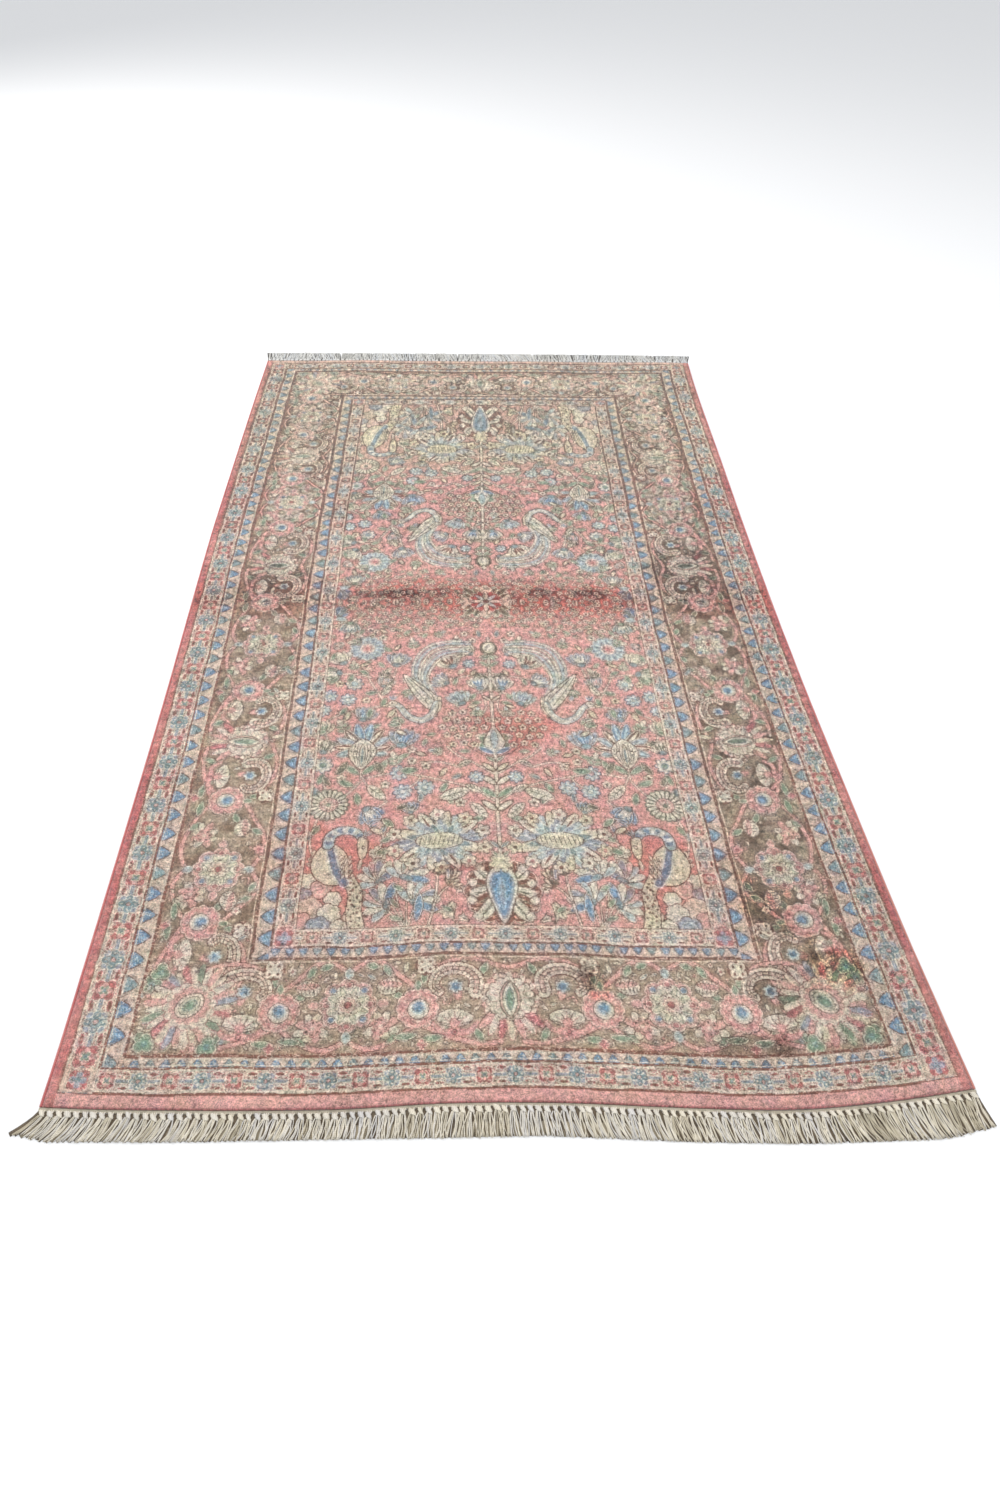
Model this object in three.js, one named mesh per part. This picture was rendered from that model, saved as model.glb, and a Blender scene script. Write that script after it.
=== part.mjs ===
// A hand-knotted silk rug, lying flat, as one group of named solids.
// Units are millimetres, +Z is up, +Y runs along the rug and the near end is at -Y.
// The pieces are the knotted body, an overcast cord along each side, and at each end a comb:
// a flat-woven heading strip with knotted tassels.
import * as THREE from "three";

// Driving sizes of the pile, side cords included.
const PILE_WIDTH = 1220;
const PILE_LENGTH = 2130;
const HALF_WIDTH = PILE_WIDTH / 2;
const HALF_LENGTH = PILE_LENGTH / 2;
const BODY_THICKNESS = 5.5;

// Side cords, wrapped in yarn, beside the body.
const CORD_WIDTH = 4.2;
const CORD_HEIGHT = 5;
const CORD_SIDES = 8;

// Fringes. The heading is the flat-woven strip that the tassels hang from.
const HEADING_DEPTH = 13;
const FRINGE_THICKNESS = 2.6;
const TASSELS = 112;
const TASSEL_FILL = 0.78;

// Meeting pieces keep this gap.
const GAP = 0.3;

// Grid of the body, across and along. The cords and headings follow the same steps.
const COLUMNS = 22;
const ROWS = 34;

// How far each edge of the pile lies outside the plain rectangle, in mm.
// "at" runs from -1 to 1: along the rug for the sides, across it for the ends.
const LEFT_SIDE = [
  { at: -1, out: 0 },
  { at: -0.9, out: -2 },
  { at: -0.35, out: -2 },
  { at: 0, out: 3 },
  { at: 0.2, out: 5 },
  { at: 0.5, out: 3 },
  { at: 0.78, out: 0 },
  { at: 1, out: -4 },
];
const RIGHT_SIDE = [
  { at: -1, out: 15 },
  { at: -0.8, out: 4 },
  { at: -0.5, out: -4 },
  { at: -0.2, out: -9 },
  { at: 0.15, out: -7 },
  { at: 0.5, out: 0 },
  { at: 0.85, out: 6 },
  { at: 1, out: 13 },
];
const NEAR_END = [
  { at: -1, out: -13 },
  { at: -0.85, out: -7 },
  { at: -0.4, out: 1 },
  { at: -0.15, out: -3 },
  { at: 0.1, out: 1 },
  { at: 0.36, out: 12 },
  { at: 0.6, out: 19 },
  { at: 0.83, out: 11 },
  { at: 1, out: -1 },
];
const FAR_END = [
  { at: -1, out: -3 },
  { at: -0.5, out: 2 },
  { at: 0.2, out: 3 },
  { at: 1, out: 4 },
];

// How far the trimmed tassels reach beyond the plain end of the pile, in mm.
const NEAR_TIPS = [
  { at: -1, out: 18 },
  { at: -0.93, out: 29 },
  { at: -0.7, out: 34 },
  { at: -0.2, out: 39 },
  { at: 0.05, out: 41 },
  { at: 0.35, out: 54 },
  { at: 0.6, out: 61 },
  { at: 0.88, out: 60 },
  { at: 1, out: 47 },
];
const FAR_TIPS = [
  { at: -1, out: 56 },
  { at: -0.4, out: 59 },
  { at: 0.5, out: 61 },
  { at: 1, out: 57 },
];

// How far the tassels lean to +X for each mm of their length.
const NEAR_LEAN = [
  { at: -1, lean: -0.75 },
  { at: -0.93, lean: -0.12 },
  { at: -0.6, lean: 0 },
  { at: -0.1, lean: -0.08 },
  { at: 0.06, lean: 0.3 },
  { at: 0.3, lean: 0.3 },
  { at: 0.5, lean: 0.06 },
  { at: 0.85, lean: 0.14 },
  { at: 1, lean: 0.4 },
];
const FAR_LEAN = [
  { at: -1, lean: -0.05 },
  { at: -0.3, lean: -0.2 },
  { at: 0.5, lean: -0.12 },
  { at: 1, lean: 0.05 },
];

// Low ripples that lift the rug off the floor: centre, heading of the ridge from +X in degrees,
// half length along the ridge, half width across it and height, in mm.
const RIPPLES = [
  { x: 0, y: -30, turn: 0, reach: 700, spread: 110, height: 1.8 },
  { x: 0, y: 470, turn: 0, reach: 700, spread: 110, height: 1.2 },
  { x: 40, y: -560, turn: 0, reach: 640, spread: 110, height: 1.0 },
  { x: -520, y: 250, turn: 12, reach: 260, spread: 120, height: 1.9 },
  { x: 520, y: -190, turn: -8, reach: 300, spread: 130, height: 1.8 },
  { x: 380, y: -1020, turn: 82, reach: 260, spread: 130, height: 2.0 },
  { x: -260, y: -1030, turn: 95, reach: 220, spread: 130, height: 1.5 },
  { x: 560, y: -960, turn: 48, reach: 240, spread: 110, height: 2.0 },
  { x: -330, y: 1010, turn: 86, reach: 240, spread: 120, height: 1.8 },
  { x: 160, y: 1020, turn: 92, reach: 220, spread: 120, height: 1.5 },
  { x: 560, y: 980, turn: 120, reach: 260, spread: 120, height: 1.9 },
];

const SILK_CORAL = new THREE.MeshStandardMaterial({ color: 0xd98f84, roughness: 0.7, metalness: 0 });
const SILK_ROSE = new THREE.MeshStandardMaterial({ color: 0xb98279, roughness: 0.75, metalness: 0 });
const COTTON = new THREE.MeshStandardMaterial({ color: 0xd2c8b4, roughness: 0.9, metalness: 0 });

// A smooth curve through a table's rows, read at one place.
function along(table, at, column) {
  const last = table.length - 1;
  const slope = (i) => {
    const before = table[Math.max(i - 1, 0)];
    const after = table[Math.min(i + 1, last)];
    return (after[column] - before[column]) / (after.at - before.at);
  };
  let i = 0;
  while (i < last - 1 && at > table[i + 1].at) i += 1;
  const span = table[i + 1].at - table[i].at;
  const t = THREE.MathUtils.clamp((at - table[i].at) / span, 0, 1);
  const start = table[i][column] * (1 + 2 * t) * (1 - t) ** 2;
  const end = table[i + 1][column] * t * t * (3 - 2 * t);
  const turnOut = slope(i) * span * t * (1 - t) ** 2;
  const turnIn = slope(i + 1) * span * t * t * (t - 1);
  return start + end + turnOut + turnIn;
}

const leftX = (at) => -HALF_WIDTH - along(LEFT_SIDE, at, "out");
const rightX = (at) => HALF_WIDTH + along(RIGHT_SIDE, at, "out");
const nearY = (at) => -HALF_LENGTH - along(NEAR_END, at, "out");
const farY = (at) => HALF_LENGTH + along(FAR_END, at, "out");

// A place on the rug: across and up run from -1 to 1, inset is kept clear at both sides.
function place(across, up, inset) {
  const x = THREE.MathUtils.lerp(leftX(up) + inset, rightX(up) - inset, (across + 1) / 2);
  const y = THREE.MathUtils.lerp(nearY(across), farY(across), (up + 1) / 2);
  return { x, y };
}

// Height of the underside above the floor, which is exactly 0 between the ripples.
function lift(x, y) {
  let height = 0;
  for (const ripple of RIPPLES) {
    const turn = THREE.MathUtils.degToRad(ripple.turn);
    const dx = x - ripple.x;
    const dy = y - ripple.y;
    const run = (dx * Math.cos(turn) + dy * Math.sin(turn)) / ripple.reach;
    const off = (dy * Math.cos(turn) - dx * Math.sin(turn)) / ripple.spread;
    const share = Math.max(0, 1 - run * run) * Math.max(0, 1 - off * off);
    height += ripple.height * share * share;
  }
  return height;
}

function solid(name, geometry, material) {
  const mesh = new THREE.Mesh(geometry, material);
  mesh.name = name;
  return mesh;
}

// The knotted body: a sheet of even thickness between the side cords.
function body() {
  const geometry = new THREE.BoxGeometry(2, 2, 2, COLUMNS, ROWS, 1);
  const points = geometry.getAttribute("position");
  for (let i = 0; i < points.count; i += 1) {
    const { x, y } = place(points.getX(i), points.getY(i), CORD_WIDTH + GAP);
    const top = points.getZ(i) > 0 ? BODY_THICKNESS : 0;
    points.setXYZ(i, x, y, lift(x, y) + top);
  }
  return solid("rug_body", geometry, SILK_CORAL);
}

// An overcast cord along one side: a rod of eight sides that stands on a flat one.
function sideCord(name, edgeX, inward) {
  const across = inward > 0 ? -1 : 1;
  const geometry = new THREE.CylinderGeometry(
    1, 1, 2, CORD_SIDES, ROWS, false, Math.PI / CORD_SIDES,
  );
  const flats = Math.cos(Math.PI / CORD_SIDES);
  const points = geometry.getAttribute("position");
  for (let i = 0; i < points.count; i += 1) {
    const up = points.getY(i);
    const middle = edgeX(up) + (inward * CORD_WIDTH) / 2;
    const y = THREE.MathUtils.lerp(nearY(across), farY(across), (up + 1) / 2);
    const x = middle + (points.getX(i) / flats) * (CORD_WIDTH / 2);
    const z = ((points.getZ(i) / flats + 1) * CORD_HEIGHT) / 2;
    points.setXYZ(i, x, y, z + lift(middle, y));
  }
  return solid(name, geometry, SILK_ROSE);
}

// The end of the pile as a line of points from left to right, one for each column, with the
// cords' outer corners at its ends.
function endLine(up) {
  const line = [{ x: leftX(up), y: place(-1, up, 0).y }];
  for (let i = 0; i <= COLUMNS; i += 1) {
    line.push(place((2 * i) / COLUMNS - 1, up, CORD_WIDTH + GAP));
  }
  line.push({ x: rightX(up), y: place(1, up, 0).y });
  return line;
}

// The height of such a line at x.
function lineY(line, x) {
  let i = 0;
  while (i < line.length - 2 && x > line[i + 1].x) i += 1;
  const t = (x - line[i].x) / (line[i + 1].x - line[i].x);
  return THREE.MathUtils.lerp(line[i].y, line[i + 1].y, t);
}

// A flat solid of even thickness over four-sided cells that meet edge to edge. Each cell lists its
// corners counter-clockwise, seen from above.
function slab(cells, thickness) {
  const corners = [];
  const numbers = new Map();
  const rim = new Map();
  const numberOf = (corner) => {
    const key = `${corner.x.toFixed(3)} ${corner.y.toFixed(3)}`;
    if (!numbers.has(key)) {
      numbers.set(key, corners.length);
      corners.push(corner);
    }
    return numbers.get(key);
  };
  const faces = [];
  const quad = (a, b, c, d) => faces.push(a, b, c, a, c, d);
  const top = (i) => 2 * i + 1;
  const bottom = (i) => 2 * i;
  for (const cell of cells) {
    const [a, b, c, d] = cell.map(numberOf);
    quad(top(a), top(b), top(c), top(d));
    quad(bottom(d), bottom(c), bottom(b), bottom(a));
    for (const [from, to] of [[a, b], [b, c], [c, d], [d, a]]) {
      if (!rim.delete(`${to} ${from}`)) rim.set(`${from} ${to}`, [from, to]);
    }
  }
  for (const [from, to] of rim.values()) quad(bottom(from), bottom(to), top(to), top(from));
  const places = corners.flatMap(({ x, y }) => [x, y, 0, x, y, thickness]);
  const geometry = new THREE.BufferGeometry();
  geometry.setAttribute("position", new THREE.Float32BufferAttribute(places, 3));
  geometry.setIndex(faces);
  geometry.computeVertexNormals();
  return geometry;
}

// One fringe: the heading strip follows the end of the pile, and each tassel is a tooth.
// up is -1 at the near end and 1 at the far one.
function fringe(name, up, tips, leans) {
  const line = endLine(up);
  const left = line[0].x;
  const pitch = (line[line.length - 1].x - left) / TASSELS;
  const half = (pitch * TASSEL_FILL) / 2;
  const inner = (x) => ({ x, y: lineY(line, x) + up * GAP });
  const outer = (x) => ({ x, y: lineY(line, x) + up * HEADING_DEPTH });
  const cells = [];
  const cell = (a, b, c, d) => cells.push(up > 0 ? [a, b, c, d] : [d, c, b, a]);
  const heading = (from, to) => cell(inner(from), inner(to), outer(to), outer(from));
  let edge = left;
  for (let i = 0; i < TASSELS; i += 1) {
    const middle = left + (i + 0.5) * pitch;
    const toothLeft = middle - half;
    const toothRight = middle + half;
    heading(edge, toothLeft);
    heading(toothLeft, toothRight);
    edge = toothRight;
    const at = ((i + 0.5) / TASSELS) * 2 - 1;
    const tip = up * (HALF_LENGTH + along(tips, at, "out"));
    const shift = along(leans, at, "lean") * Math.abs(tip - outer(middle).y);
    const tipLeft = { x: toothLeft + shift, y: tip };
    const tipRight = { x: toothRight + shift, y: tip };
    cell(outer(toothLeft), outer(toothRight), tipRight, tipLeft);
  }
  heading(edge, line[line.length - 1].x);
  return solid(name, slab(cells, FRINGE_THICKNESS), COTTON);
}

const rug = new THREE.Group();
rug.add(body());
rug.add(sideCord("selvedge_left", leftX, 1));
rug.add(sideCord("selvedge_right", rightX, -1));
rug.add(fringe("fringe_near", -1, NEAR_TIPS, NEAR_LEAN));
rug.add(fringe("fringe_far", 1, FAR_TIPS, FAR_LEAN));

// The origin is under the middle of the rug's box, on the floor.
const box = new THREE.Box3().setFromObject(rug);
rug.position.set(-(box.min.x + box.max.x) / 2, -(box.min.y + box.max.y) / 2, -box.min.z);

export default rug;
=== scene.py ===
import bpy
import numpy as np
from mathutils import Matrix, Vector


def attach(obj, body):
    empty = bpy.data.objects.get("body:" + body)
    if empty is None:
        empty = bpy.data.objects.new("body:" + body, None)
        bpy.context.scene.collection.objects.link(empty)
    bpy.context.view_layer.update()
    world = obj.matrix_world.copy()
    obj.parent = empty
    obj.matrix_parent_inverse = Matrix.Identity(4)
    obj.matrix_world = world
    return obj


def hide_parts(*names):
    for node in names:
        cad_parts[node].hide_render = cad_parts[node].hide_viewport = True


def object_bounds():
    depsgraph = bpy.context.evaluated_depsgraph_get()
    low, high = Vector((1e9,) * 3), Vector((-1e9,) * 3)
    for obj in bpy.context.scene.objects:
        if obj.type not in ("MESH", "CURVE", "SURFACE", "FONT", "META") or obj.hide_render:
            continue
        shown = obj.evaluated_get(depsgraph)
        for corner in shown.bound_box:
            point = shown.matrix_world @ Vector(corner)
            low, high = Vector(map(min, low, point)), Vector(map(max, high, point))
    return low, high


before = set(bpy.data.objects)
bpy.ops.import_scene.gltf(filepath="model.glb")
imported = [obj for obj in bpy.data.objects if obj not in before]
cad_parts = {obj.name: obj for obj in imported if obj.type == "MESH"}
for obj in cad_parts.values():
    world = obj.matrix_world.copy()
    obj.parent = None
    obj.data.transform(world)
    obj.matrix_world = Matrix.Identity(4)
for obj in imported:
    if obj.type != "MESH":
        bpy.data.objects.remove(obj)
cad_low, cad_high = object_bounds()

# A hand-knotted silk rug with birds, palmettes and flowering stems, lying flat.
# The scene is in metres. The knot chart is in millimetres, seen from above, with its origin at
# the middle of the pile: x to the right, y away from the viewer.
MM = 0.001

# ---- Camera, light and floor --------------------------------------------------------------------

CAMERA_PLACE = Vector((-0.0694, -1.4759, 1.1684))
CAMERA_DOWN = 0.84605
CAMERA_YAW = -0.06772
CAMERA_ROLL = 0.03936
CAMERA_LENS = 21.0


def add_camera():
    """A camera above the near end. Down, yaw and roll are in radians from a level look along +Y."""
    data = bpy.data.cameras.new("camera")
    data.lens = CAMERA_LENS
    data.sensor_width = 36.0
    data.clip_start = 0.01
    camera = bpy.data.objects.new("camera", data)
    bpy.context.scene.collection.objects.link(camera)
    level = Matrix.Rotation(np.pi / 2, 4, "X")
    turn = (Matrix.Rotation(CAMERA_YAW, 4, "Z") @ Matrix.Rotation(-CAMERA_DOWN, 4, "X") @ level
            @ Matrix.Rotation(CAMERA_ROLL, 4, "Z"))
    camera.matrix_world = Matrix.Translation(CAMERA_PLACE) @ turn
    bpy.context.scene.camera = camera


def add_lamp(name, place, target, size, watts, colour):
    data = bpy.data.lights.new(name, "AREA")
    data.shape = "SQUARE"
    data.size = size
    data.energy = watts
    data.color = colour
    lamp = bpy.data.objects.new(name, data)
    lamp.location = place
    lamp.rotation_euler = (Vector(target) - Vector(place)).to_track_quat("-Z", "Y").to_euler()
    bpy.context.scene.collection.objects.link(lamp)


def add_light():
    world = bpy.data.worlds.new("studio")
    world.use_nodes = True
    background = world.node_tree.nodes["Background"]
    background.inputs["Color"].default_value = (0.95, 0.97, 1.0, 1.0)
    background.inputs["Strength"].default_value = 0.75
    bpy.context.scene.world = world
    bpy.context.scene.view_settings.view_transform = "Standard"
    add_lamp("window", (-2.6, 2.4, 2.6), (0.0, 0.1, 0.0), 2.2, 95.0, (1.0, 0.985, 0.96))
    add_lamp("overhead", (1.2, -0.6, 3.6), (0.0, 0.0, 0.0), 3.0, 60.0, (1.0, 1.0, 1.0))


def add_floor():
    half = 14.0
    corners = [(-half, -half, 0), (half, -half, 0), (half, half, 0), (-half, half, 0)]
    mesh = bpy.data.meshes.new("floor")
    mesh.from_pydata(corners, [], [(0, 1, 2, 3)])
    floor = bpy.data.objects.new("floor", mesh)
    floor.location.z = -0.3 * MM
    bpy.context.scene.collection.objects.link(floor)
    s = Shader("studio_floor")
    s.finish(s.node("ShaderNodeBsdfPrincipled", {"Base Color": (0.93, 0.93, 0.93, 1), "Roughness": 0.8}))
    mesh.materials.append(s.material)


# ---- Shader building ----------------------------------------------------------------------------


def light(red, green, blue):
    """A colour given as it looks on a screen, 0 to 255, as linear light."""
    parts = [part / 255 for part in (red, green, blue)]
    return tuple(p / 12.92 if p <= 0.04045 else ((p + 0.055) / 1.055) ** 2.4 for p in parts) + (1.0,)


class Shader:
    """A material whose nodes are made by calls that read like sums."""

    def __init__(self, name):
        self.material = bpy.data.materials.new(name)
        self.material.use_nodes = True
        self.nodes = self.material.node_tree.nodes
        self.links = self.material.node_tree.links
        self.nodes.clear()

    def node(self, kind, inputs=(), **settings):
        node = self.nodes.new(kind)
        for key, value in settings.items():
            setattr(node, key, value)
        for key, value in dict(inputs).items():
            if isinstance(value, bpy.types.NodeSocket):
                self.links.new(value, node.inputs[key])
            else:
                node.inputs[key].default_value = value
        return node

    def math(self, operation, *values):
        return self.node("ShaderNodeMath", enumerate(values), operation=operation).outputs[0]

    def add(self, first, second):
        return self.math("ADD", first, second)

    def minus(self, first, second):
        return self.math("SUBTRACT", first, second)

    def times(self, first, second):
        return self.math("MULTIPLY", first, second)

    def clamp(self, value, low, high):
        return self.math("MAXIMUM", self.math("MINIMUM", value, high), low)

    def vector(self, operation, *values):
        return self.node("ShaderNodeVectorMath", enumerate(values), operation=operation).outputs[0]

    def split(self, vector):
        return list(self.node("ShaderNodeSeparateXYZ", {0: vector}).outputs)

    def join(self, x, y, z=0.0):
        return self.node("ShaderNodeCombineXYZ", {0: x, 1: y, 2: z}).outputs[0]

    def attribute(self, name):
        return self.node("ShaderNodeAttribute", attribute_name=name).outputs["Vector"]

    def value(self, name):
        return self.node("ShaderNodeAttribute", attribute_name=name).outputs["Fac"]

    def noise(self, vector, scale, detail=2.0, rough=0.5):
        inputs = {"Vector": vector, "Scale": scale, "Detail": detail, "Roughness": rough}
        return self.node("ShaderNodeTexNoise", inputs)

    def grain(self, *inputs):
        """Noise as one number, mostly between 0.3 and 0.7."""
        return self.noise(*inputs).outputs["Fac"]

    def span(self, value, low, high, first=0.0, last=1.0, smooth=False):
        """value's way from low to high, as a number from first to last."""
        kind = "SMOOTHSTEP" if smooth else "LINEAR"
        inputs = {"Value": value, "From Min": low, "From Max": high, "To Min": first, "To Max": last}
        return self.node("ShaderNodeMapRange", inputs, interpolation_type=kind).outputs[0]

    def pick(self, share, first, second):
        """first where share is 0 and second where it is 1, for numbers."""
        return self.node("ShaderNodeMix", {0: share, 2: first, 3: second}, data_type="FLOAT").outputs[0]

    def mix(self, share, first, second, blend="MIX"):
        inputs = {0: share, 6: first, 7: second}
        return self.node("ShaderNodeMix", inputs, data_type="RGBA", blend_type=blend).outputs[2]

    def dim(self, colour, amount):
        return self.mix(1.0, colour, self.join(amount, amount, amount), "MULTIPLY")

    def grey(self, colour):
        return self.node("ShaderNodeRGBToBW", {"Color": colour}).outputs["Val"]

    def ramp(self, value, stops, steps=False):
        node = self.node("ShaderNodeValToRGB", {0: value})
        node.color_ramp.interpolation = "CONSTANT" if steps else "LINEAR"
        elements = node.color_ramp.elements
        while len(elements) < len(stops):
            elements.new(0.5)
        for element, (place, colour) in zip(elements, stops):
            element.position = place
            element.color = colour
        return node.outputs[0]

    def shades(self, value, *rows):
        """A colour for value. Each row is a value and its colour as it looks on a screen."""
        return self.ramp(value, [(place, light(*colour)) for place, *colour in rows])

    def surface(self, colour, roughness, height, distance, strength, more=()):
        """The finished material. Its bumps are height times distance, in metres."""
        bumps = {"Height": height, "Distance": distance, "Strength": strength}
        normal = self.node("ShaderNodeBump", bumps).outputs[0]
        inputs = {"Base Color": colour, "Roughness": roughness, "Normal": normal, **dict(more)}
        return self.finish(self.node("ShaderNodeBsdfPrincipled", inputs))

    def finish(self, shader):
        output = self.node("ShaderNodeOutputMaterial")
        self.links.new(shader.outputs[0], output.inputs["Surface"])
        return self.material


# ---- Knot chart ---------------------------------------------------------------------------------

# The dyes, as they look on a screen: at the near end of the rug, and at its far end, where most look paler.
DYES = {
    # yarn: near end, far end
    "brown": ((128, 86, 66), (120, 88, 64)),
    "coral": ((221, 157, 149), (206, 166, 146)),
    "cream": ((220, 211, 191), (224, 212, 188)),
    "blue": ((92, 146, 182), (120, 146, 156)),
    "sky": ((174, 194, 194), (170, 184, 178)),
    "green": ((118, 154, 126), (142, 154, 130)),
    "taupe": ((174, 154, 130), (138, 112, 84)),
    "pink": ((223, 166, 157), (216, 182, 160)),
    "rose": ((206, 116, 120), (192, 138, 120)),
    "straw": ((216, 206, 178), (212, 200, 166)),
    "teal": ((112, 148, 154), (134, 150, 146)),
    "lilac": ((146, 160, 176), (156, 162, 162)),
    "umber": ((140, 68, 48), (120, 72, 50)),
    "peach": ((214, 188, 168), (212, 192, 164)),
    "olive": ((104, 106, 84), (122, 116, 88)),
    "madder": ((200, 92, 94), (194, 122, 104)),
}
YARN_NUMBER = {name: number for number, name in enumerate(DYES)}

BLOCK = 4
BLOCKS_ACROSS = 228
BLOCKS_ALONG = 408
PILE_WIDTH = 1211.0
PILE_LENGTH = 2130.0
KNOT_X = PILE_WIDTH / (BLOCK * BLOCKS_ACROSS)
KNOT_Y = PILE_LENGTH / (BLOCK * BLOCKS_ALONG)


class Chart:
    """A stretch of the knot chart, a yarn number for each knot. Its places are in mm."""

    def __init__(self, left, right, low, high, ground, knot=(KNOT_X, KNOT_Y)):
        self.left, self.low, self.knot = left, low, knot
        columns = round((right - left) / knot[0])
        rows = round((high - low) / knot[1])
        self.yarn = np.full((rows, columns), YARN_NUMBER[ground], np.uint8)

    def at(self, x, y, reach=60.0, turn=0.0, grow=1.0, flip=1):
        return Spot(self, x, y, reach, turn, grow, flip)

    def everywhere(self):
        rows, columns = self.yarn.shape
        reach = max(rows * self.knot[1], columns * self.knot[0])
        return Spot(self, 0.0, 0.0, 3 * reach, 0.0, 1.0, 1)


class Spot:
    """The knots round one motif. p and q are their places in the motif's own frame, in mm."""

    def __init__(self, chart, x, y, reach, turn, grow, flip):
        rows, columns = chart.yarn.shape
        knot_x, knot_y = chart.knot
        low = int(np.clip((y - reach * grow - chart.low) / knot_y, 0, rows))
        high = int(np.clip((y + reach * grow - chart.low) / knot_y + 1, 0, rows))
        left = int(np.clip((x - reach * grow - chart.left) / knot_x, 0, columns))
        right = int(np.clip((x + reach * grow - chart.left) / knot_x + 1, 0, columns))
        self.view = chart.yarn[low:high, left:right]
        across = (np.arange(left, right)[None, :] + 0.5) * knot_x + chart.left - x
        along = (np.arange(low, high)[:, None] + 0.5) * knot_y + chart.low - y
        angle = np.radians(turn)
        self.p = (across * np.cos(angle) + along * np.sin(angle)) * flip / grow
        self.q = (along * np.cos(angle) - across * np.sin(angle)) / grow

    def paint(self, where, yarn):
        self.view[where] = YARN_NUMBER[yarn]

    def fill(self, gap, yarn, edge=None, line=1.5):
        """Ties a shape. gap is the distance to its outline, below 0 inside it."""
        if edge:
            self.paint(gap < 0, edge)
            gap = gap + line
        self.paint(gap < 0, yarn)

    def tie(self, gap, yarn, edge="cream", line=1.4):
        """The same with a fine brown line round it."""
        self.paint(gap < 1.3, "brown")
        self.fill(gap, yarn, edge, line)

    def disc(self, radius, p=0.0, q=0.0, squash=1.0):
        return np.hypot(self.p - p, (self.q - q) / squash) - radius

    def rays(self, count, inner, outer, p=0.0, q=0.0, start=90.0, blunt=1.0):
        """A ring of petals. blunt over 1 gives narrow ones, below 1 wide ones."""
        angle = np.arctan2(self.q - q, self.p - p) - np.radians(start)
        wave = np.abs(np.cos(angle * count / 2)) ** blunt
        return np.hypot(self.p - p, self.q - q) - inner - (outer - inner) * wave

    def leaf(self, p, q, turn, length, width, blunt=0.7):
        """A leaf with its foot at p, q that points along turn."""
        angle = np.radians(turn)
        along = (self.p - p) * np.cos(angle) + (self.q - q) * np.sin(angle)
        off = (self.q - q) * np.cos(angle) - (self.p - p) * np.sin(angle)
        share = np.clip(along / length, 0, 1)
        half = width / 2 * (4 * share * (1 - share)) ** blunt
        return np.maximum(np.abs(off) - half, np.maximum(-along, along - length))

    def stroke(self, points, width, tip=None):
        """A brush stroke through points, from width at its start to tip at its end."""
        gap = np.full(np.broadcast(self.p, self.q).shape, 1e3)
        widths = np.linspace(width, width if tip is None else tip, len(points)) / 2
        for (ax, ay), (bx, by), start, end in zip(points, points[1:], widths, widths[1:]):
            dx, dy = bx - ax, by - ay
            share = ((self.p - ax) * dx + (self.q - ay) * dy) / max(dx * dx + dy * dy, 1e-9)
            share = np.clip(share, 0, 1)
            off = np.hypot(self.p - ax - share * dx, self.q - ay - share * dy)
            gap = np.minimum(gap, off - start - share * (end - start))
        return gap

    def outline(self, points):
        """A closed shape through points."""
        gap = self.stroke(list(points) + [points[0]], 0.0)
        inside = np.zeros(gap.shape, bool)
        for (ax, ay), (bx, by) in zip(points, list(points[1:]) + [points[0]]):
            if ay != by:
                crosses = (self.q < ay) != (self.q < by)
                inside ^= crosses & (self.p < (bx - ax) * (self.q - ay) / (by - ay) + ax)
        return np.where(inside, -gap, gap)


def curve(points, steps=5, closed=False):
    """A smooth line through a few points."""
    points = [np.array(point, float) for point in points]
    if closed:
        points = [points[-1]] + points + points[:2]
    else:
        points = [2 * points[0] - points[1]] + points + [2 * points[-1] - points[-2]]
    line = []
    for before, start, end, after in zip(points, points[1:], points[2:], points[3:]):
        for t in np.arange(steps) / steps:
            pull = 2 * before - 5 * start + 4 * end - after
            bend = 3 * start - before - 3 * end + after
            line.append(start + 0.5 * ((end - before) * t + pull * t**2 + bend * t**3))
    return line if closed else line + [points[-2]]


def around(reach, turn, high=None):
    """The point at a distance and an angle in degrees. high sets another distance along q."""
    angle = np.radians(turn)
    return reach * np.cos(angle), (high or reach) * np.sin(angle)


def shape(s, points, yarn, edge="brown", line=1.5):
    """A closed shape with a smooth outline through a few points."""
    s.fill(s.outline(curve(points, 4, True)), yarn, edge, line)


def both_sides(half):
    """A closed outline from the points of its right half, of which two are on the axis."""
    return list(half) + [(-p, q) for p, q in reversed(half[1:-1])]


def oval_reach(turn, wide, high):
    """How far an oval reaches from its middle in a direction."""
    angle = np.radians(turn)
    return 1 / np.hypot(np.cos(angle) / wide, np.sin(angle) / high)


def layers(s, line, *rows):
    """Strokes along one line, one over another. A row is the width at each end and the yarn."""
    for first, last, yarn in rows:
        s.fill(s.stroke(line, first, last), yarn)


def edge_of(yarn):
    """Pale shapes have a brown edge and all others a cream one."""
    return "brown" if yarn in ("cream", "straw") else "cream"


# ---- Small motifs -------------------------------------------------------------------------------


def leaf(s, p, q, turn, length, width, yarn="green", edge="cream"):
    s.tie(s.leaf(p, q, turn, length, width), yarn, edge, 1.3)


def ribbed_leaf(s, turn, length, width):
    """A broad cream leaf with a dark rib and veins."""
    s.fill(s.leaf(0, 0, turn, length, width), "cream", "brown", 1.6)
    away = np.array(around(1.0, turn))
    out = np.array((-away[1], away[0]))
    s.fill(s.stroke([0.1 * length * away, 0.8 * length * away], 1.5), "olive")
    for share in (0.3, 0.5, 0.7):
        for side in (-1, 1):
            foot = share * length * away
            tip = foot + 0.1 * length * away + side * width * 0.26 * out
            s.fill(s.stroke([foot, tip], 1.4), "olive")


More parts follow.
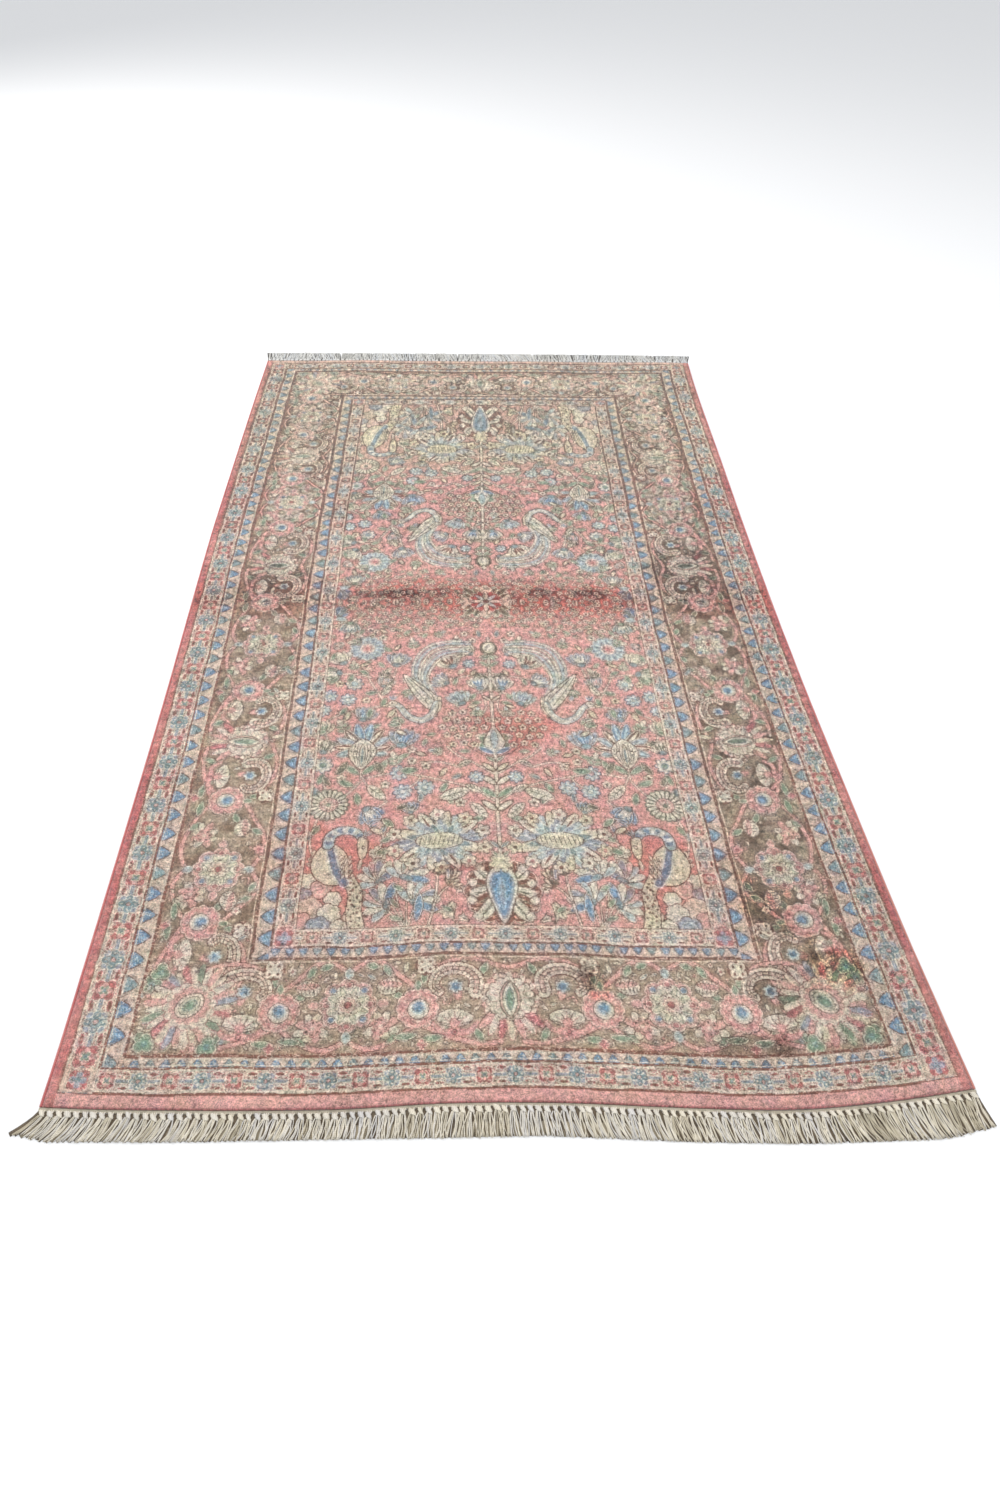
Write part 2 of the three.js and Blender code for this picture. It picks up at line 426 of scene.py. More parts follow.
def stem(s, points, width, yarn="cream", rim=1.3, under="brown", steps=5):
    """A stem with a darker rim of its own width on each side."""
    line = curve(points, steps)
    layers(s, line, (width + 2 * rim, width + 2 * rim, under), (width, width, yarn))


def twig(s, points, width):
    stem(s, points, width, rim=0.8)


def blossom(s, size, petal, heart="brown"):
    s.fill(s.rays(5, size * 0.62, size, blunt=0.8), petal, "brown", 1.4)
    s.fill(s.disc(size * 0.3), heart)


def daisy(s, size, petal, seam):
    """A flat round flower of fourteen petals with seams between them."""
    count = 14
    s.tie(s.rays(count, size * 0.84, size, blunt=0.7), petal, "cream", 2.0)
    angle = np.arctan2(s.q, s.p) * count / 2
    ring = (s.disc(size * 0.42) > 0) & (s.disc(size * 0.9) < 0)
    s.paint(ring & (np.abs(np.sin(angle)) > 0.86), seam)
    s.paint(ring & (np.abs(np.sin(angle)) < 0.3) & (s.disc(size * 0.72) < 0), "cream")
    s.fill(s.disc(size * 0.46), "cream", seam, 1.4)
    s.fill(s.rays(8, size * 0.18, size * 0.36), "pink")
    s.fill(s.disc(size * 0.12), "rose")


def small_daisy(s, size, petal="sky", heart="straw"):
    s.tie(s.rays(8, size * 0.6, size, blunt=0.7), petal, "blue", 1.6)
    for turn in range(0, 360, 45):
        s.fill(s.disc(size * 0.13, *around(size * 0.62, turn)), "cream")
    s.fill(s.disc(size * 0.36), heart, "blue", 1.3)


def tulip(s, size, petal="sky", inner="pink"):
    """A cup flower that opens along q."""
    cup = "green" if petal == "teal" else "teal"
    for turn, width in ((50, 0.62), (130, 0.62), (70, 0.6), (110, 0.6), (90, 0.66)):
        s.tie(s.leaf(0, -size * 0.5, turn, size * 1.35, size * width), petal, "cream", 1.4)
    for turn in (66, 114):
        s.fill(s.leaf(0, -size * 0.4, turn, size * 1.0, size * 0.2), inner)
    s.fill(s.leaf(0, -size * 0.4, 90, size * 1.0, size * 0.24), inner, "cream", 1.2)
    s.fill(s.disc(size * 0.34, 0, -size * 0.45, 0.7), cup, "brown", 1.3)


def bell(s, size, petal="cream", edge="brown"):
    shape = [(-0.2, -0.7), (0.2, -0.7), (0.45, 0.1), (0.9, 0.7), (0.3, 0.45), (0, 0.8),
             (-0.3, 0.45), (-0.9, 0.7), (-0.45, 0.1)]
    s.fill(s.outline([(size * p, size * q) for p, q in shape]), petal, edge, 1.5)
    s.fill(s.stroke([(0, -0.4 * size), (0, 0.4 * size)], 1.5), "olive")


def sprig(s, size, yarn="green", bud="sky"):
    """A short stalk with two pairs of leaves and a bud, along q."""
    s.fill(s.stroke([(0, -size), (0, size * 0.5)], 2.0), "cream")
    for q, length in ((-0.7, 0.9), (-0.1, 0.75)):
        for turn in (35, 145):
            leaf(s, 0, size * q, turn, size * length, size * 0.42, yarn)
    s.tie(s.leaf(0, size * 0.2, 90, size * 0.9, size * 0.55), bud, "cream", 1.3)


def feathery(s, size):
    """A flower of four ribbed wings."""
    for turn in (38, 142, -40, 220):
        length = size if turn in (38, 142) else size * 0.85
        s.tie(s.leaf(0, 0, turn, length, size * 0.62, 0.5), "olive", "cream", 1.4)
        for side in (-13, 0, 13):
            s.fill(s.stroke([(0, 0), around(length * 0.8, turn + side)], 1.5), "cream")
    s.fill(s.leaf(0, -size * 0.7, 90, size * 1.5, size * 0.26), "cream", "brown", 1.3)


# ---- The field ----------------------------------------------------------------------------------


def scatter(field, rows):
    """Tiny blossoms on twigs, thick round the middle."""
    for row in range(rows):
        for column in range(20):
            x = -12.0 - 16.0 * column - 7.0 * (row % 2) + 3.0 * np.sin(2.3 * column + row)
            y = -6.0 - 13.5 * row + 3.0 * np.cos(1.7 * column - 2.0 * row)
            if row > 5 and (column < 7 or (row + column) % 3 == 0):
                continue
            s = field.at(x, y, 12)
            s.fill(s.stroke([(0, 0), (8 * np.sin(x), -8)], 1.7), "olive" if column % 3 else "cream")
            petal = ("cream", "straw", "cream", "pink")[(row + 2 * column) % 4]
            blossom(s, 6.4 + (column + row) % 3 * 0.8, petal)
            if (row + column) % 4 == 1:
                leaf(s, 2, 3, 40 * (row + column), 11, 6)


def centre_star(field):
    """The star in the middle of the rug, with four bunches of leaves."""
    s = field.at(0, 0, 80)
    s.fill(s.rays(16, 46, 56, blunt=0.6), "cream", "brown")
    s.fill(s.rays(16, 40, 50, start=79, blunt=0.6), "peach", "brown", 1.2)
    for turn in (45, 135, 225, 315):
        for side in (-17, 0, 17):
            s.fill(s.leaf(0, 0, turn + side, 70 - abs(side), 17), "green", "cream")
            s.fill(s.leaf(0, 0, turn + side, 62 - abs(side), 5), "olive")
    s.fill(s.rays(16, 27, 36, blunt=0.7), "rose", "cream")
    for turn in range(0, 360, 45):
        long = 35 if turn % 90 == 0 else 30
        s.fill(s.leaf(0, 0, turn, long, 11), "sky" if turn % 90 else "cream", "brown", 1.3)
    s.fill(s.disc(8), "teal", "cream")
    s.fill(s.disc(3.5), "brown")


def bird(field):
    """A bird with a long arched tail, above the bush."""
    s = field.at(-105, -215, 140)
    for number in range(6):
        part = number / 5
        line = curve([
            (-16 + 13 * part, -58 + 4 * part),
            (-38 + 24 * part, -18 + 2 * part),
            (-42 + 37 * part, 24 - 8 * part),
            (-22 + 36 * part, 72 - 28 * part),
            (22 + 17 * part, 92 - 38 * part),
            (72 - 8 * part, 90 - 34 * part),
        ])
        under, over = (("teal", "cream"), ("lilac", "sky"), ("taupe", "cream"))[number % 3]
        layers(s, line, (7.4, 5.4, under), (4.8, 3.2, over))
    body = ((-63, -2), (-50, -4), (-26, -30), (0, -56), (14, -78), (6, -100), (-16, -94), (-42, -56))
    shape(s, body, "cream", "brown", 1.9)
    for step in range(4):
        rib = ((-56 + 4 * step, -10), (-36 + 9 * step, -46 + 4 * step), (-12 + 6 * step, -84 + 6 * step))
        s.fill(s.stroke(curve(rib), 1.5), ("olive", "sky")[step % 2])
    for step in range(7):
        rib = [(-46 + 7 * step, -16 - 9 * step), (-40 + 7 * step, -24 - 9 * step)]
        s.fill(s.stroke(rib, 1.8), "brown")
    neck = curve([(4, -82), (-6, -110), (-26, -124), (-50, -112), (-66, -88), (-78, -76)])
    layers(s, neck, (19, 13, "brown"), (16, 10, "sky"), (9, 4, "cream"))
    s.fill(s.stroke(curve([(8, -66), (9, -92), (-2, -114)]), 9, 4), "straw", "brown", 1.4)
    s.fill(s.disc(9.5, -80, -78, 0.8), "cream", "brown")
    s.fill(s.disc(2.0, -81, -77), "brown")
    s.fill(s.leaf(-86, -80, 200, 15, 6), "straw", "brown", 1.2)
    for turn in (60, 90, 120):
        s.fill(s.leaf(-80, -70, turn, 15, 5), "blue", "cream", 1.0)


def bush(field):
    """Rows of small blossoms on fine twigs, either side of the middle stem."""
    s = field.at(0, 0, 460)
    for column in range(4):
        foot = -14 - 22 * column
        s.fill(s.stroke(curve([(0, -436), (foot * 0.6, -400), (foot, -330)]), 1.6), "brown")
    for row in range(5):
        for column in range(5):
            x = -16 - 19 * column + 8 * (row % 2)
            y = -318 - 19 * row - 4 * (column % 2)
            if row == 0 and column in (0, 4) or row == 4 and column == 4:
                continue
            blossom(field.at(x, y, 14), 8.6, ("cream", "straw")[(row + column) % 2], "brown")
    for x, y, turn in ((-36, -310, 60), (-62, -306, 100), (-102, -330, 150), (-104, -372, 190)):
        leaf(field.at(x, y, 26), 0, 0, turn, 17, 8)


def pointed_palmette(field, x, y):
    """A tall flower of narrow petals in a fan, round a cream heart."""
    s = field.at(x, y, 90)
    s.fill(s.stroke([(0, -40), (0, -70)], 3.0), "cream", "brown", 1.2)
    for side in (-1, 1):
        leaf(s, 2 * side, -58, 90 - side * 52, 34, 13, "green")
        leaf(s, 24 * side, -30, 90 - side * 150, 32, 14, "olive")
    for number, turn in enumerate(range(-18, 199, 24)):
        long = 66 - 9 * abs(number - 4.5) ** 0.6
        yarn = ("teal", "umber", "lilac", "brown", "blue", "blue", "brown", "lilac", "umber", "teal")[number]
        s.tie(s.leaf(0, 0, turn, long + 4, 19, 0.6), yarn, "cream", 1.6)
        s.fill(s.leaf(0, 0, turn, long, 6), "cream" if yarn in ("umber", "brown") else "sky")
    heart = ((0, -48), (13, -36), (25, -14), (23, 6), (11, 20), (0, 26))
    shape(s, both_sides(heart), "cream", "brown", 2.0)
    for column in (-16, -10, 10, 16):
        s.fill(s.stroke([(column * 0.6, -34), (column, -12), (column * 0.8, 12)], 1.4), "brown")
        s.fill(s.disc(2.0, column * 1.2, -4), "olive")
    s.fill(s.leaf(0, -42, 90, 56, 12), "straw", "brown", 1.4)
    s.fill(s.leaf(0, -38, 90, 44, 4), "teal")


def oval_palmette(field, x, y):
    """A broad flower: a straw oval in a blue collar, with spiky petals and blossoms round it."""
    s = field.at(x, y, 100, 0, 1.16)
    s.tie(s.stroke(curve([(6, -18), (10, -40), (12, -62)]), 8, 5), "lilac")
    for number in range(16):
        turn = 22.5 * number + 8
        reach = oval_reach(turn, 72, 52)
        yarn = ("lilac", "cream", "sky", "straw")[number % 4]
        s.fill(s.leaf(0, 0, turn, reach, 20, 0.5), yarn, "brown" if number % 2 else "lilac", 1.7)
        s.fill(s.leaf(0, 0, turn, reach * 0.88, 4), "umber" if number % 4 == 1 else "cream")
    for number in range(10):
        turn = 36 * number + 20
        p, q = around(66, turn, 45)
        s.fill(s.rays(5, 7, 12.5, p, q, 90 + turn, 0.7), ("cream", "straw")[number % 2], "brown", 1.7)
        s.fill(s.disc(3.2, p, q), ("brown", "umber", "rose")[number % 3])
    for number in range(18):
        turn = 20 * number + 10
        reach = oval_reach(turn, 50, 29)
        s.fill(s.leaf(0, 0, turn, reach, 13, 0.8), ("lilac", "sky", "teal")[number % 3], "cream", 1.2)
    s.fill(s.disc(34, 0, 0, 0.42), "straw", "brown", 1.8)
    for step in range(-4, 5):
        s.fill(s.stroke([(6.5 * step - 2, -7), (6.5 * step + 2, 7)], 1.5), "olive")


def corner_bird(field):
    """A plump bird that bends its head to its breast, on a knotted trunk."""
    s = field.at(-262, -640, 150)
    trunk = curve([(18, -30), (34, -62), (34, -95), (42, -134)])
    layers(s, trunk, (22, 28, "brown"), (18.5, 24.5, "straw"))
    for step in range(30):
        point = trunk[min(2 + step // 2, len(trunk) - 1)]
        side = 8 * np.sin(2.4 * step)
        s.fill(s.disc(2.1, point[0] + side, point[1] - 2 * (step % 2)), ("brown", "olive")[step % 2])
    body = ((-12, 34), (-32, 22), (-42, -6), (-34, -32), (-12, -48), (12, -46), (26, -26), (20, 2), (8, 22))
    shape(s, body, "straw", "brown", 2.2)
    for step in range(5):
        wing = ((-26 + 6 * step, 16 - 4 * step), (-30 + 7 * step, -12 - 2 * step), (-12 + 6 * step, -38))
        s.fill(s.stroke(curve(wing), 1.5), "cream")
    band = curve([(-14, 30), (-8, 6), (0, -20), (16, -44)])
    layers(s, band, (13, 16, "cream"), (10, 12, "blue"))
    for row in range(5):
        for column in range(3):
            p, q = 8 + 7 * column + 1.5 * row, 10 - 9 * row
            s.fill(s.leaf(p, q, 250, 11, 6), ("cream", "straw")[(row + column) % 2], "brown", 1.1)
    neck = curve([(-16, 30), (-12, 48), (6, 58), (28, 54), (42, 36)])
    layers(s, neck, (21, 17, "brown"), (17.5, 13.5, "sky"))
    for step, point in enumerate(neck[1:-1:2]):
        s.fill(s.disc(5.4, point[0], point[1], 0.8), ("blue", "cream")[step % 2])
    shape(s, ((32, 44), (46, 42), (50, 24), (46, 6), (38, -2), (33, 8), (30, 26)), "straw", "brown", 1.9)
    s.fill(s.leaf(39, 2, 262, 24, 8), "cream", "brown", 1.3)
    s.fill(s.disc(3.4, 41, 24), "cream", "brown", 1.3)
    for turn in (20, 45, 70):
        s.fill(s.leaf(40, 46, turn, 17, 5), "sky", "brown", 1.1)


def rocks(field):
    """Cloud-like rocks at the corner of the field."""
    for number, (x, y, size) in enumerate((
        (-306, -680, 15), (-282, -694, 17), (-310, -708, 17), (-262, -712, 14), (-296, -728, 19),
        (-266, -738, 18), (-308, -752, 18), (-280, -762, 20), (-248, -762, 15), (-236, -742, 9),
    )):
        s = field.at(x, y, 40)
        s.fill(s.rays(6, size * 0.92, size * 1.12, start=20 * number, blunt=0.5),
               ("cream", "pink", "lilac", "cream", "peach")[number % 5], "brown", 1.7)
        s.fill(np.abs(s.disc(size * 0.55)) - 0.8, ("peach", "cream")[number % 2])


def iris_plant(field):
    s = field.at(0, 0, 900)
    foot = (-148, -772)
    blooms = ((-196, -668, 28), (-146, -664, -22), (-190, -716, 66), (-128, -712, -34))
    for x, y, turn in blooms + ((-168, -690, 0),):
        twig(s, [foot, ((x - 152) / 2, (y - 766) / 2), (x, y)], 2.0)
    for x, y, turn in blooms:
        flower = field.at(x, y, 44, turn)
        for angle, yarn in (
            (172, "sky"), (140, "cream"), (112, "sky"), (90, "pink"), (68, "lilac"), (40, "cream"),
            (8, "blue"),
        ):
            flower.tie(flower.leaf(0, -12, angle, 38, 15, 0.55), yarn, "cream", 1.5)
        flower.fill(flower.disc(11, 0, -13, 0.6), "teal", "brown", 1.4)
        for step in (-1, 0, 1):
            flower.fill(flower.disc(1.8, 8 * step, 4), "green")
    for x, y, turn in ((-160, -730, 130), (-136, -742, 60), (-152, -700, 150), (-154, -752, 160)):
        leaf(field.at(x, y, 34), 0, 0, turn, 22, 9)
    leaf(field.at(-134, -756, 70), 0, 0, 84, 50, 13, "blue")


def lily_plant(field):
    s = field.at(0, 0, 900)
    stem(s, [(-118, -772), (-106, -720), (-102, -680), (-106, -640)], 3.0)
    stem(s, [(-106, -722), (-94, -704), (-82, -694)], 2.2)
    for x, y, turn in ((-84, -694, -40), (-80, -680, -10), (-92, -672, 20)):
        for side in (-44, -15, 15, 44):
            leaf(field.at(x, y, 34), 0, 0, 90 + turn + side, 22, 9, ("straw", "olive")[side > 0], "brown")
    bell(field.at(-84, -738, 40, 150), 24, "straw", "brown")
    bell(field.at(-62, -752, 30, 60), 14, "cream", "brown")
    leaf(field.at(-96, -730, 30), 0, 0, -30, 20, 9)


def end_palmette(field):
    """The tall flower at the end of the middle stem, round a blue core."""
    s = field.at(0, -704, 90, 0, 1.1)
    s.tie(s.rays(12, 46, 56, 0, 0, 90, 0.6), "umber", "cream", 1.5)
    for turn, long, yarn in (
        (90, 60, "straw"), (112, 56, "umber"), (136, 54, "cream"), (160, 50, "umber"), (184, 48, "cream"),
        (208, 54, "umber"), (232, 62, "cream"),
    ):
        for angle in (turn, 180 - turn):
            s.fill(s.leaf(0, 0, angle, long, 21, 0.45), yarn, edge_of(yarn), 1.5)
            s.fill(s.leaf(0, 0, angle, long * 0.86, 4), "olive")
    for p, q in ((-30, 38), (-42, 14), (-44, -14), (-36, -40)):
        s.fill(s.rays(4, 6, 8, p, q, blunt=0.6), "cream", "brown", 1.2)
    core = curve(both_sides(((0, 40), (14, 26), (17, 6), (10, -22), (0, -44))), 4, True)
    s.fill(s.outline([(p * 1.35, q * 1.2) for p, q in core]), "cream", "brown", 1.8)
    s.fill(s.outline(core), "blue", "lilac", 3.0)
    s.fill(s.leaf(0, -30, 90, 56, 9), "lilac", "sky", 1.5)
    s.fill(s.rays(7, 10, 18, 0, 48, 90, 0.6), "straw", "brown")


def middle_stem(field):
    """The stem from the star to the end of the field, with its bud, flower, urn and leaves."""
    s = field.at(0, 0, 700)
    stem(s, [(0, -160), (0, -640)], 3.2)
    for y, long, yarn in (
        (-196, 24, "green"), (-288, 22, "cream"), (-440, 20, "green"), (-462, 30, "straw"),
        (-492, 34, "cream"), (-520, 36, "green"), (-548, 34, "cream"), (-622, 20, "teal"),
        (-640, 18, "green"),
    ):
        for turn in (140, 40):
            leaf(s, 0, y, turn, long, long * 0.36, yarn, edge_of(yarn))
    bud = field.at(0, -143, 40)
    bud.fill(bud.disc(17, 0, 0, 1.25), "olive", "brown", 1.8)
    bud.fill(bud.disc(11, 0, 1, 1.3), "cream", "straw", 2.4)
    bud.fill(bud.leaf(0, 16, 90, 18, 8), "cream", "brown", 1.1)
    for turn in (200, 230, -20, -50):
        leaf(bud, 0, -20, turn, 20, 7, "green")
    feathery(field.at(0, -240, 50), 38)
    urn = field.at(0, -385, 60)
    urn.fill(urn.rays(6, 22, 30, 0, -6, 90, 0.7), "green", "cream")
    shape(urn, both_sides(((0, 34), (12, 14), (20, -8), (10, -28), (0, -34))), "cream", "brown", 1.8)
    urn.fill(urn.leaf(0, -24, 90, 48, 14), "sky", "teal", 1.5)
    for turn in (150, 30):
        urn.fill(urn.leaf(0, -36, turn, 34, 11), "blue", "cream", 1.3)
    for y in (-590, -575):
        s.fill(s.stroke([(-14, y), (14, y)], 3.0), "cream")
        s.fill(s.stroke([(-12, y), (12, y)], 1.3), "rose")


def branches(field):
    """Cream stems with leaves that join the flowers."""
    s = field.at(0, 0, 900)
    for line in (
        [(0, -530), (-40, -500), (-76, -486), (-130, -470), (-176, -462), (-224, -470)],
        [(0, -470), (-40, -440), (-66, -424), (-84, -404)],
        [(-130, -470), (-136, -484), (-161, -502)],
        [(-232, -466), (-214, -500), (-186, -524)],
        [(-234, -478), (-250, -500), (-262, -512)],
        [(-186, -524), (-200, -536), (-214, -552), (-190, -590), (-196, -624)],
        [(-297, -440), (-297, -474), (-290, -500)],
        [(-150, -312), (-196, -300), (-236, -306), (-290, -326), (-310, -350)],
        [(-196, -300), (-214, -262), (-232, -222), (-236, -172)],
        [(-210, -262), (-192, -246), (-180, -200)],
        [(-228, -222), (-258, -214), (-292, -214)],
        [(-310, -350), (-300, -372), (-290, -400)],
        [(-180, -310), (-172, -350), (-164, -380)],
        [(-30, -150), (-56, -168), (-75, -186)],
        [(0, -214), (-40, -222), (-88, -234)],
        [(-10, -262), (-36, -272), (-58, -282)],
        [(-236, -112), (-262, -98), (-300, -84)],
        [(-300, -560), (-308, -600), (-300, -640)],
        [(-20, -330), (-10, -300), (-22, -250)],
        [(-130, -440), (-96, -440), (-62, -452)],
    ):
        twig(s, line, 3.0)


BROAD_LEAVES = (
    # x, y, turn, length, width
    (-98, -520, 20, 56, 26), (-46, -530, -48, 44, 20), (-222, -486, -46, 48, 22), (-24, -508, 150, 34, 16),
    (-206, -272, 60, 34, 16), (-66, -450, 30, 30, 14),
)

LEAVES = (
    # x, y, turn, length, yarn
    (-134, -457, 180, 32, "green"), (-46, -498, 215, 26, "green"), (-84, -486, 240, 24, "green"),
    (-96, -472, 60, 22, "straw"), (-244, -487, 160, 30, "green"), (-312, -490, 290, 34, "teal"),
    (-297, -460, 250, 26, "green"), (-297, -466, 300, 24, "olive"), (-234, -530, 100, 28, "green"),
    (-131, -527, 80, 20, "teal"), (-85, -515, 300, 20, "green"), (-308, -600, 120, 30, "teal"),
    (-306, -590, 60, 22, "green"), (-190, -590, 150, 24, "straw"), (-194, -606, 20, 22, "green"),
    (-206, -300, 70, 24, "green"), (-224, -304, 260, 24, "green"), (-180, -308, 240, 26, "straw"),
    (-262, -314, 250, 24, "straw"), (-280, -322, 60, 22, "green"), (-214, -262, 190, 24, "green"),
    (-232, -214, 150, 22, "green"), (-196, -248, 60, 20, "olive"), (-262, -214, 250, 24, "green"),
    (-300, -360, 200, 24, "green"), (-296, -384, 330, 24, "olive"), (-172, -350, 170, 20, "green"),
    (-176, -362, 330, 22, "straw"), (-36, -222, 60, 20, "straw"), (-62, -228, 250, 20, "green"),
    (-44, -162, 200, 20, "straw"), (-28, -268, 240, 20, "green"), (-256, -100, 60, 20, "green"),
    (-276, -92, 250, 22, "straw"), (-184, -146, 60, 20, "straw"), (-190, -150, 140, 22, "green"),
    (-244, -190, 40, 20, "green"), (-232, -184, 200, 20, "straw"), (-186, -742, 60, 24, "green"),
    (-176, -620, 200, 26, "green"), (-192, -560, 320, 26, "green"), (-170, -540, 20, 22, "olive"),
    (-24, -662, 160, 22, "green"), (-20, -560, 200, 26, "green"), (-64, -560, 190, 20, "cream"),
    (-306, -176, 80, 22, "green"), (-150, -420, 200, 22, "green"), (-120, -424, 160, 22, "straw"),
    (-190, -430, 250, 26, "green"), (-176, -400, 200, 20, "olive"), (-204, -344, 210, 22, "green"),
    (-168, -100, 40, 20, "green"), (-200, -96, 140, 20, "straw"), (-130, -112, 60, 18, "green"),
    (-18, -290, 200, 22, "green"), (-44, -306, 20, 20, "straw"), (-212, -700, 200, 22, "green"),
    (-206, -650, 40, 20, "straw"), (-170, -640, 80, 20, "green"), (-308, -540, 90, 24, "green"),
)

FLOWERS = (
    # motif, x, y, size, turn, first yarn, second yarn
    ("daisy", -238, -140, 36, 0, "sky", "lilac"), ("small", -303, -272, 16, 0, "sky", "straw"),
    ("small", -268, -282, 16, 10, "sky", "straw"), ("small", -311, -310, 15, 0, "sky", "cream"),
    ("small", -166, -462, 17, 0, "sky", "pink"), ("small", -160, -503, 17, 10, "sky", "cream"),
    ("small", -122, -496, 17, 0, "sky", "cream"), ("small", -34, -474, 14, 0, "sky", "straw"),
    ("small", -300, -441, 18, 0, "cream", "green"), ("small", -258, -240, 17, 0, "cream", "sky"),
    ("tulip", -76, -184, 30, 30, "cream", "umber"), ("tulip", -92, -236, 24, 60, "lilac", "cream"),
    ("tulip", -59, -284, 27, 20, "sky", "lilac"), ("tulip", -22, -244, 24, 10, "cream", "blue"),
    ("tulip", -163, -384, 32, -10, "lilac", "blue"), ("tulip", -178, -176, 28, -12, "lilac", "cream"),
    ("tulip", -214, -548, 26, 210, "blue", "cream"), ("tulip", -196, -572, 20, 130, "blue", "pink"),
    ("tulip", -146, -540, 18, 10, "blue", "olive"), ("tulip", -288, -172, 27, 24, "cream", "straw"),
    ("tulip", -300, -214, 27, 110, "green", "cream"), ("tulip", -234, -322, 25, -20, "lilac", "blue"),
    ("tulip", -308, -356, 24, 0, "straw", "green"), ("tulip", -40, -153, 20, 40, "cream", "pink"),
    ("tulip", -200, -238, 20, -20, "lilac", "pink"), ("tulip", -276, -74, 24, 180, "teal", "cream"),
    ("tulip", -303, -36, 26, 40, "blue", "lilac"), ("tulip", -300, -400, 24, -10, "cream", "olive"),
    ("sprig", -148, -128, 17, 10, "green", "cream"), ("sprig", -296, -640, 18, 10, "green", "straw"),
    ("sprig", -176, -342, 18, 150, "green", "pink"), ("sprig", -200, -212, 17, -30, "olive", "straw"),
    ("sprig", -262, -120, 16, 100, "green", "cream"), ("sprig", -272, -350, 18, 30, "green", "cream"),
    ("sprig", -176, -430, 18, 20, "green", "cream"), ("sprig", -36, -596, 16, 60, "green", "straw"),
    ("sprig", -156, -268, 17, 200, "green", "lilac"), ("sprig", -26, -318, 15, 0, "green", "sky"),
    ("sprig", -232, -356, 16, 40, "green", "rose"), ("sprig", -262, -190, 15, 10, "green", "straw"),
    ("sprig", -60, -122, 15, 10, "green", "cream"), ("sprig", -196, -636, 16, 60, "straw", "cream"),
    ("blossom", -234, -197, 14, 0, "pink", "straw"), ("blossom", -160, -230, 10, 0, "cream", "brown"),
    ("blossom", -198, -626, 14, 0, "cream", "green"), ("blossom", -208, -108, 10, 0, "cream", "olive"),
    ("blossom", -286, -240, 10, 0, "straw", "brown"), ("blossom", -120, -448, 10, 0, "cream", "brown"),
    ("blossom", -146, -410, 10, 0, "cream", "brown"), ("blossom", -262, -378, 10, 0, "pink", "brown"),
    ("blossom", -190, -486, 10, 0, "cream", "olive"), ("blossom", -266, -470, 10, 0, "cream", "brown"),
    ("blossom", -62, -530, 11, 0, "cream", "brown"), ("blossom", -160, -610, 10, 0, "cream", "brown"),
    ("blossom", -296, -672, 10, 0, "cream", "green"), ("blossom", -176, -664, 10, 0, "cream", "brown"),
    ("blossom", -66, -700, 9, 0, "cream", "brown"), ("blossom", -210, -742, 10, 0, "pink", "brown"),
    ("blossom", -30, -120, 9, 0, "cream", "brown"), ("blossom", -110, -134, 9, 0, "cream", "olive"),
)

MOTIFS = {"daisy": daisy, "small": small_daisy, "tulip": tulip, "sprig": sprig, "blossom": blossom}


def flowers(field):
    """The flowers and leaves of the tables above."""
    for motif, x, y, size, turn, first, second in FLOWERS:
        s = field.at(x, y, 2 * size, turn)
        MOTIFS[motif](s, size, first, second)
    for x, y, turn, length, yarn in LEAVES:
        leaf(field.at(x, y, 1.2 * length), 0, 0, turn, length, length * 0.46, yarn, edge_of(yarn))
    for x, y, turn, length, width in BROAD_LEAVES:
        ribbed_leaf(field.at(x, y, 1.2 * length), turn, length, width)


def fill_gaps(field, reaches):
    """Leaves and buds where a patch of bare ground is left."""
    number = 0
    for reach in reaches:
        for y in np.arange(field.low + 12, -14, 7.3):
            for x in np.arange(field.left + 10 + 3.6 * (int(y) % 2), -8, 7.1):
                s = field.at(x, y, reach)
                if (s.view != YARN_NUMBER["coral"])[s.disc(reach) < 0].any():
                    continue
                number += 1
                turn = (77 * number) % 360
                size = reach * 0.82
                if reach > 14:
                    motif = number % 3
                    spot = field.at(x, y, 2 * reach, turn)
                    if motif == 0:
                        tulip(spot, size, ("sky", "cream", "lilac")[number % 3], "pink")
                    elif motif == 1:
                        sprig(spot, size, "green", ("cream", "sky", "straw")[number % 3])
                    else:
                        small_daisy(spot, size * 0.9, "sky", "cream")
                elif number % 3 == 0:
                    blossom(field.at(x, y, 2 * reach), size * 0.95, ("cream", "straw", "pink")[number % 2])
                else:
                    spot = field.at(x, y, 2 * reach, turn)
                    yarn = ("green", "teal", "straw", "green")[number % 4]
                    leaf(spot, -size, 0, 0, 2 * size, size * 0.9, yarn)


def edge_wings(field):
    """Blue wing leaves at the sides of the field, near its middle."""
    s = field.at(-306, -36, 60)
    for turn, long, yarn in (
        (20, 34, "blue"), (45, 40, "teal"), (70, 38, "blue"), (-15, 30, "sky"), (95, 30, "lilac"),
    ):
        leaf(s, -8, -10, turn, long, 14, yarn)
    s.fill(s.disc(9, -8, -10), "rose", "cream")


def side_rosette(field, x, y):
    """A round flower of many thin petals."""
    s = field.at(x, y, 60)
    s.tie(s.rays(20, 29, 34, blunt=0.6), "cream", "green", 2.4)
    angle = np.arctan2(s.q, s.p) * 10
    ring = (s.disc(16) > 0) & (s.disc(30) < 0)
    s.paint(ring & (np.abs(np.sin(angle)) > 0.84), "olive")
    s.fill(s.disc(16), "pink", "brown", 1.3)
    s.fill(s.rays(10, 5, 13, blunt=1.4), "cream", "rose", 1.2)
    s.fill(s.disc(4.5), "green", "brown", 1.0)


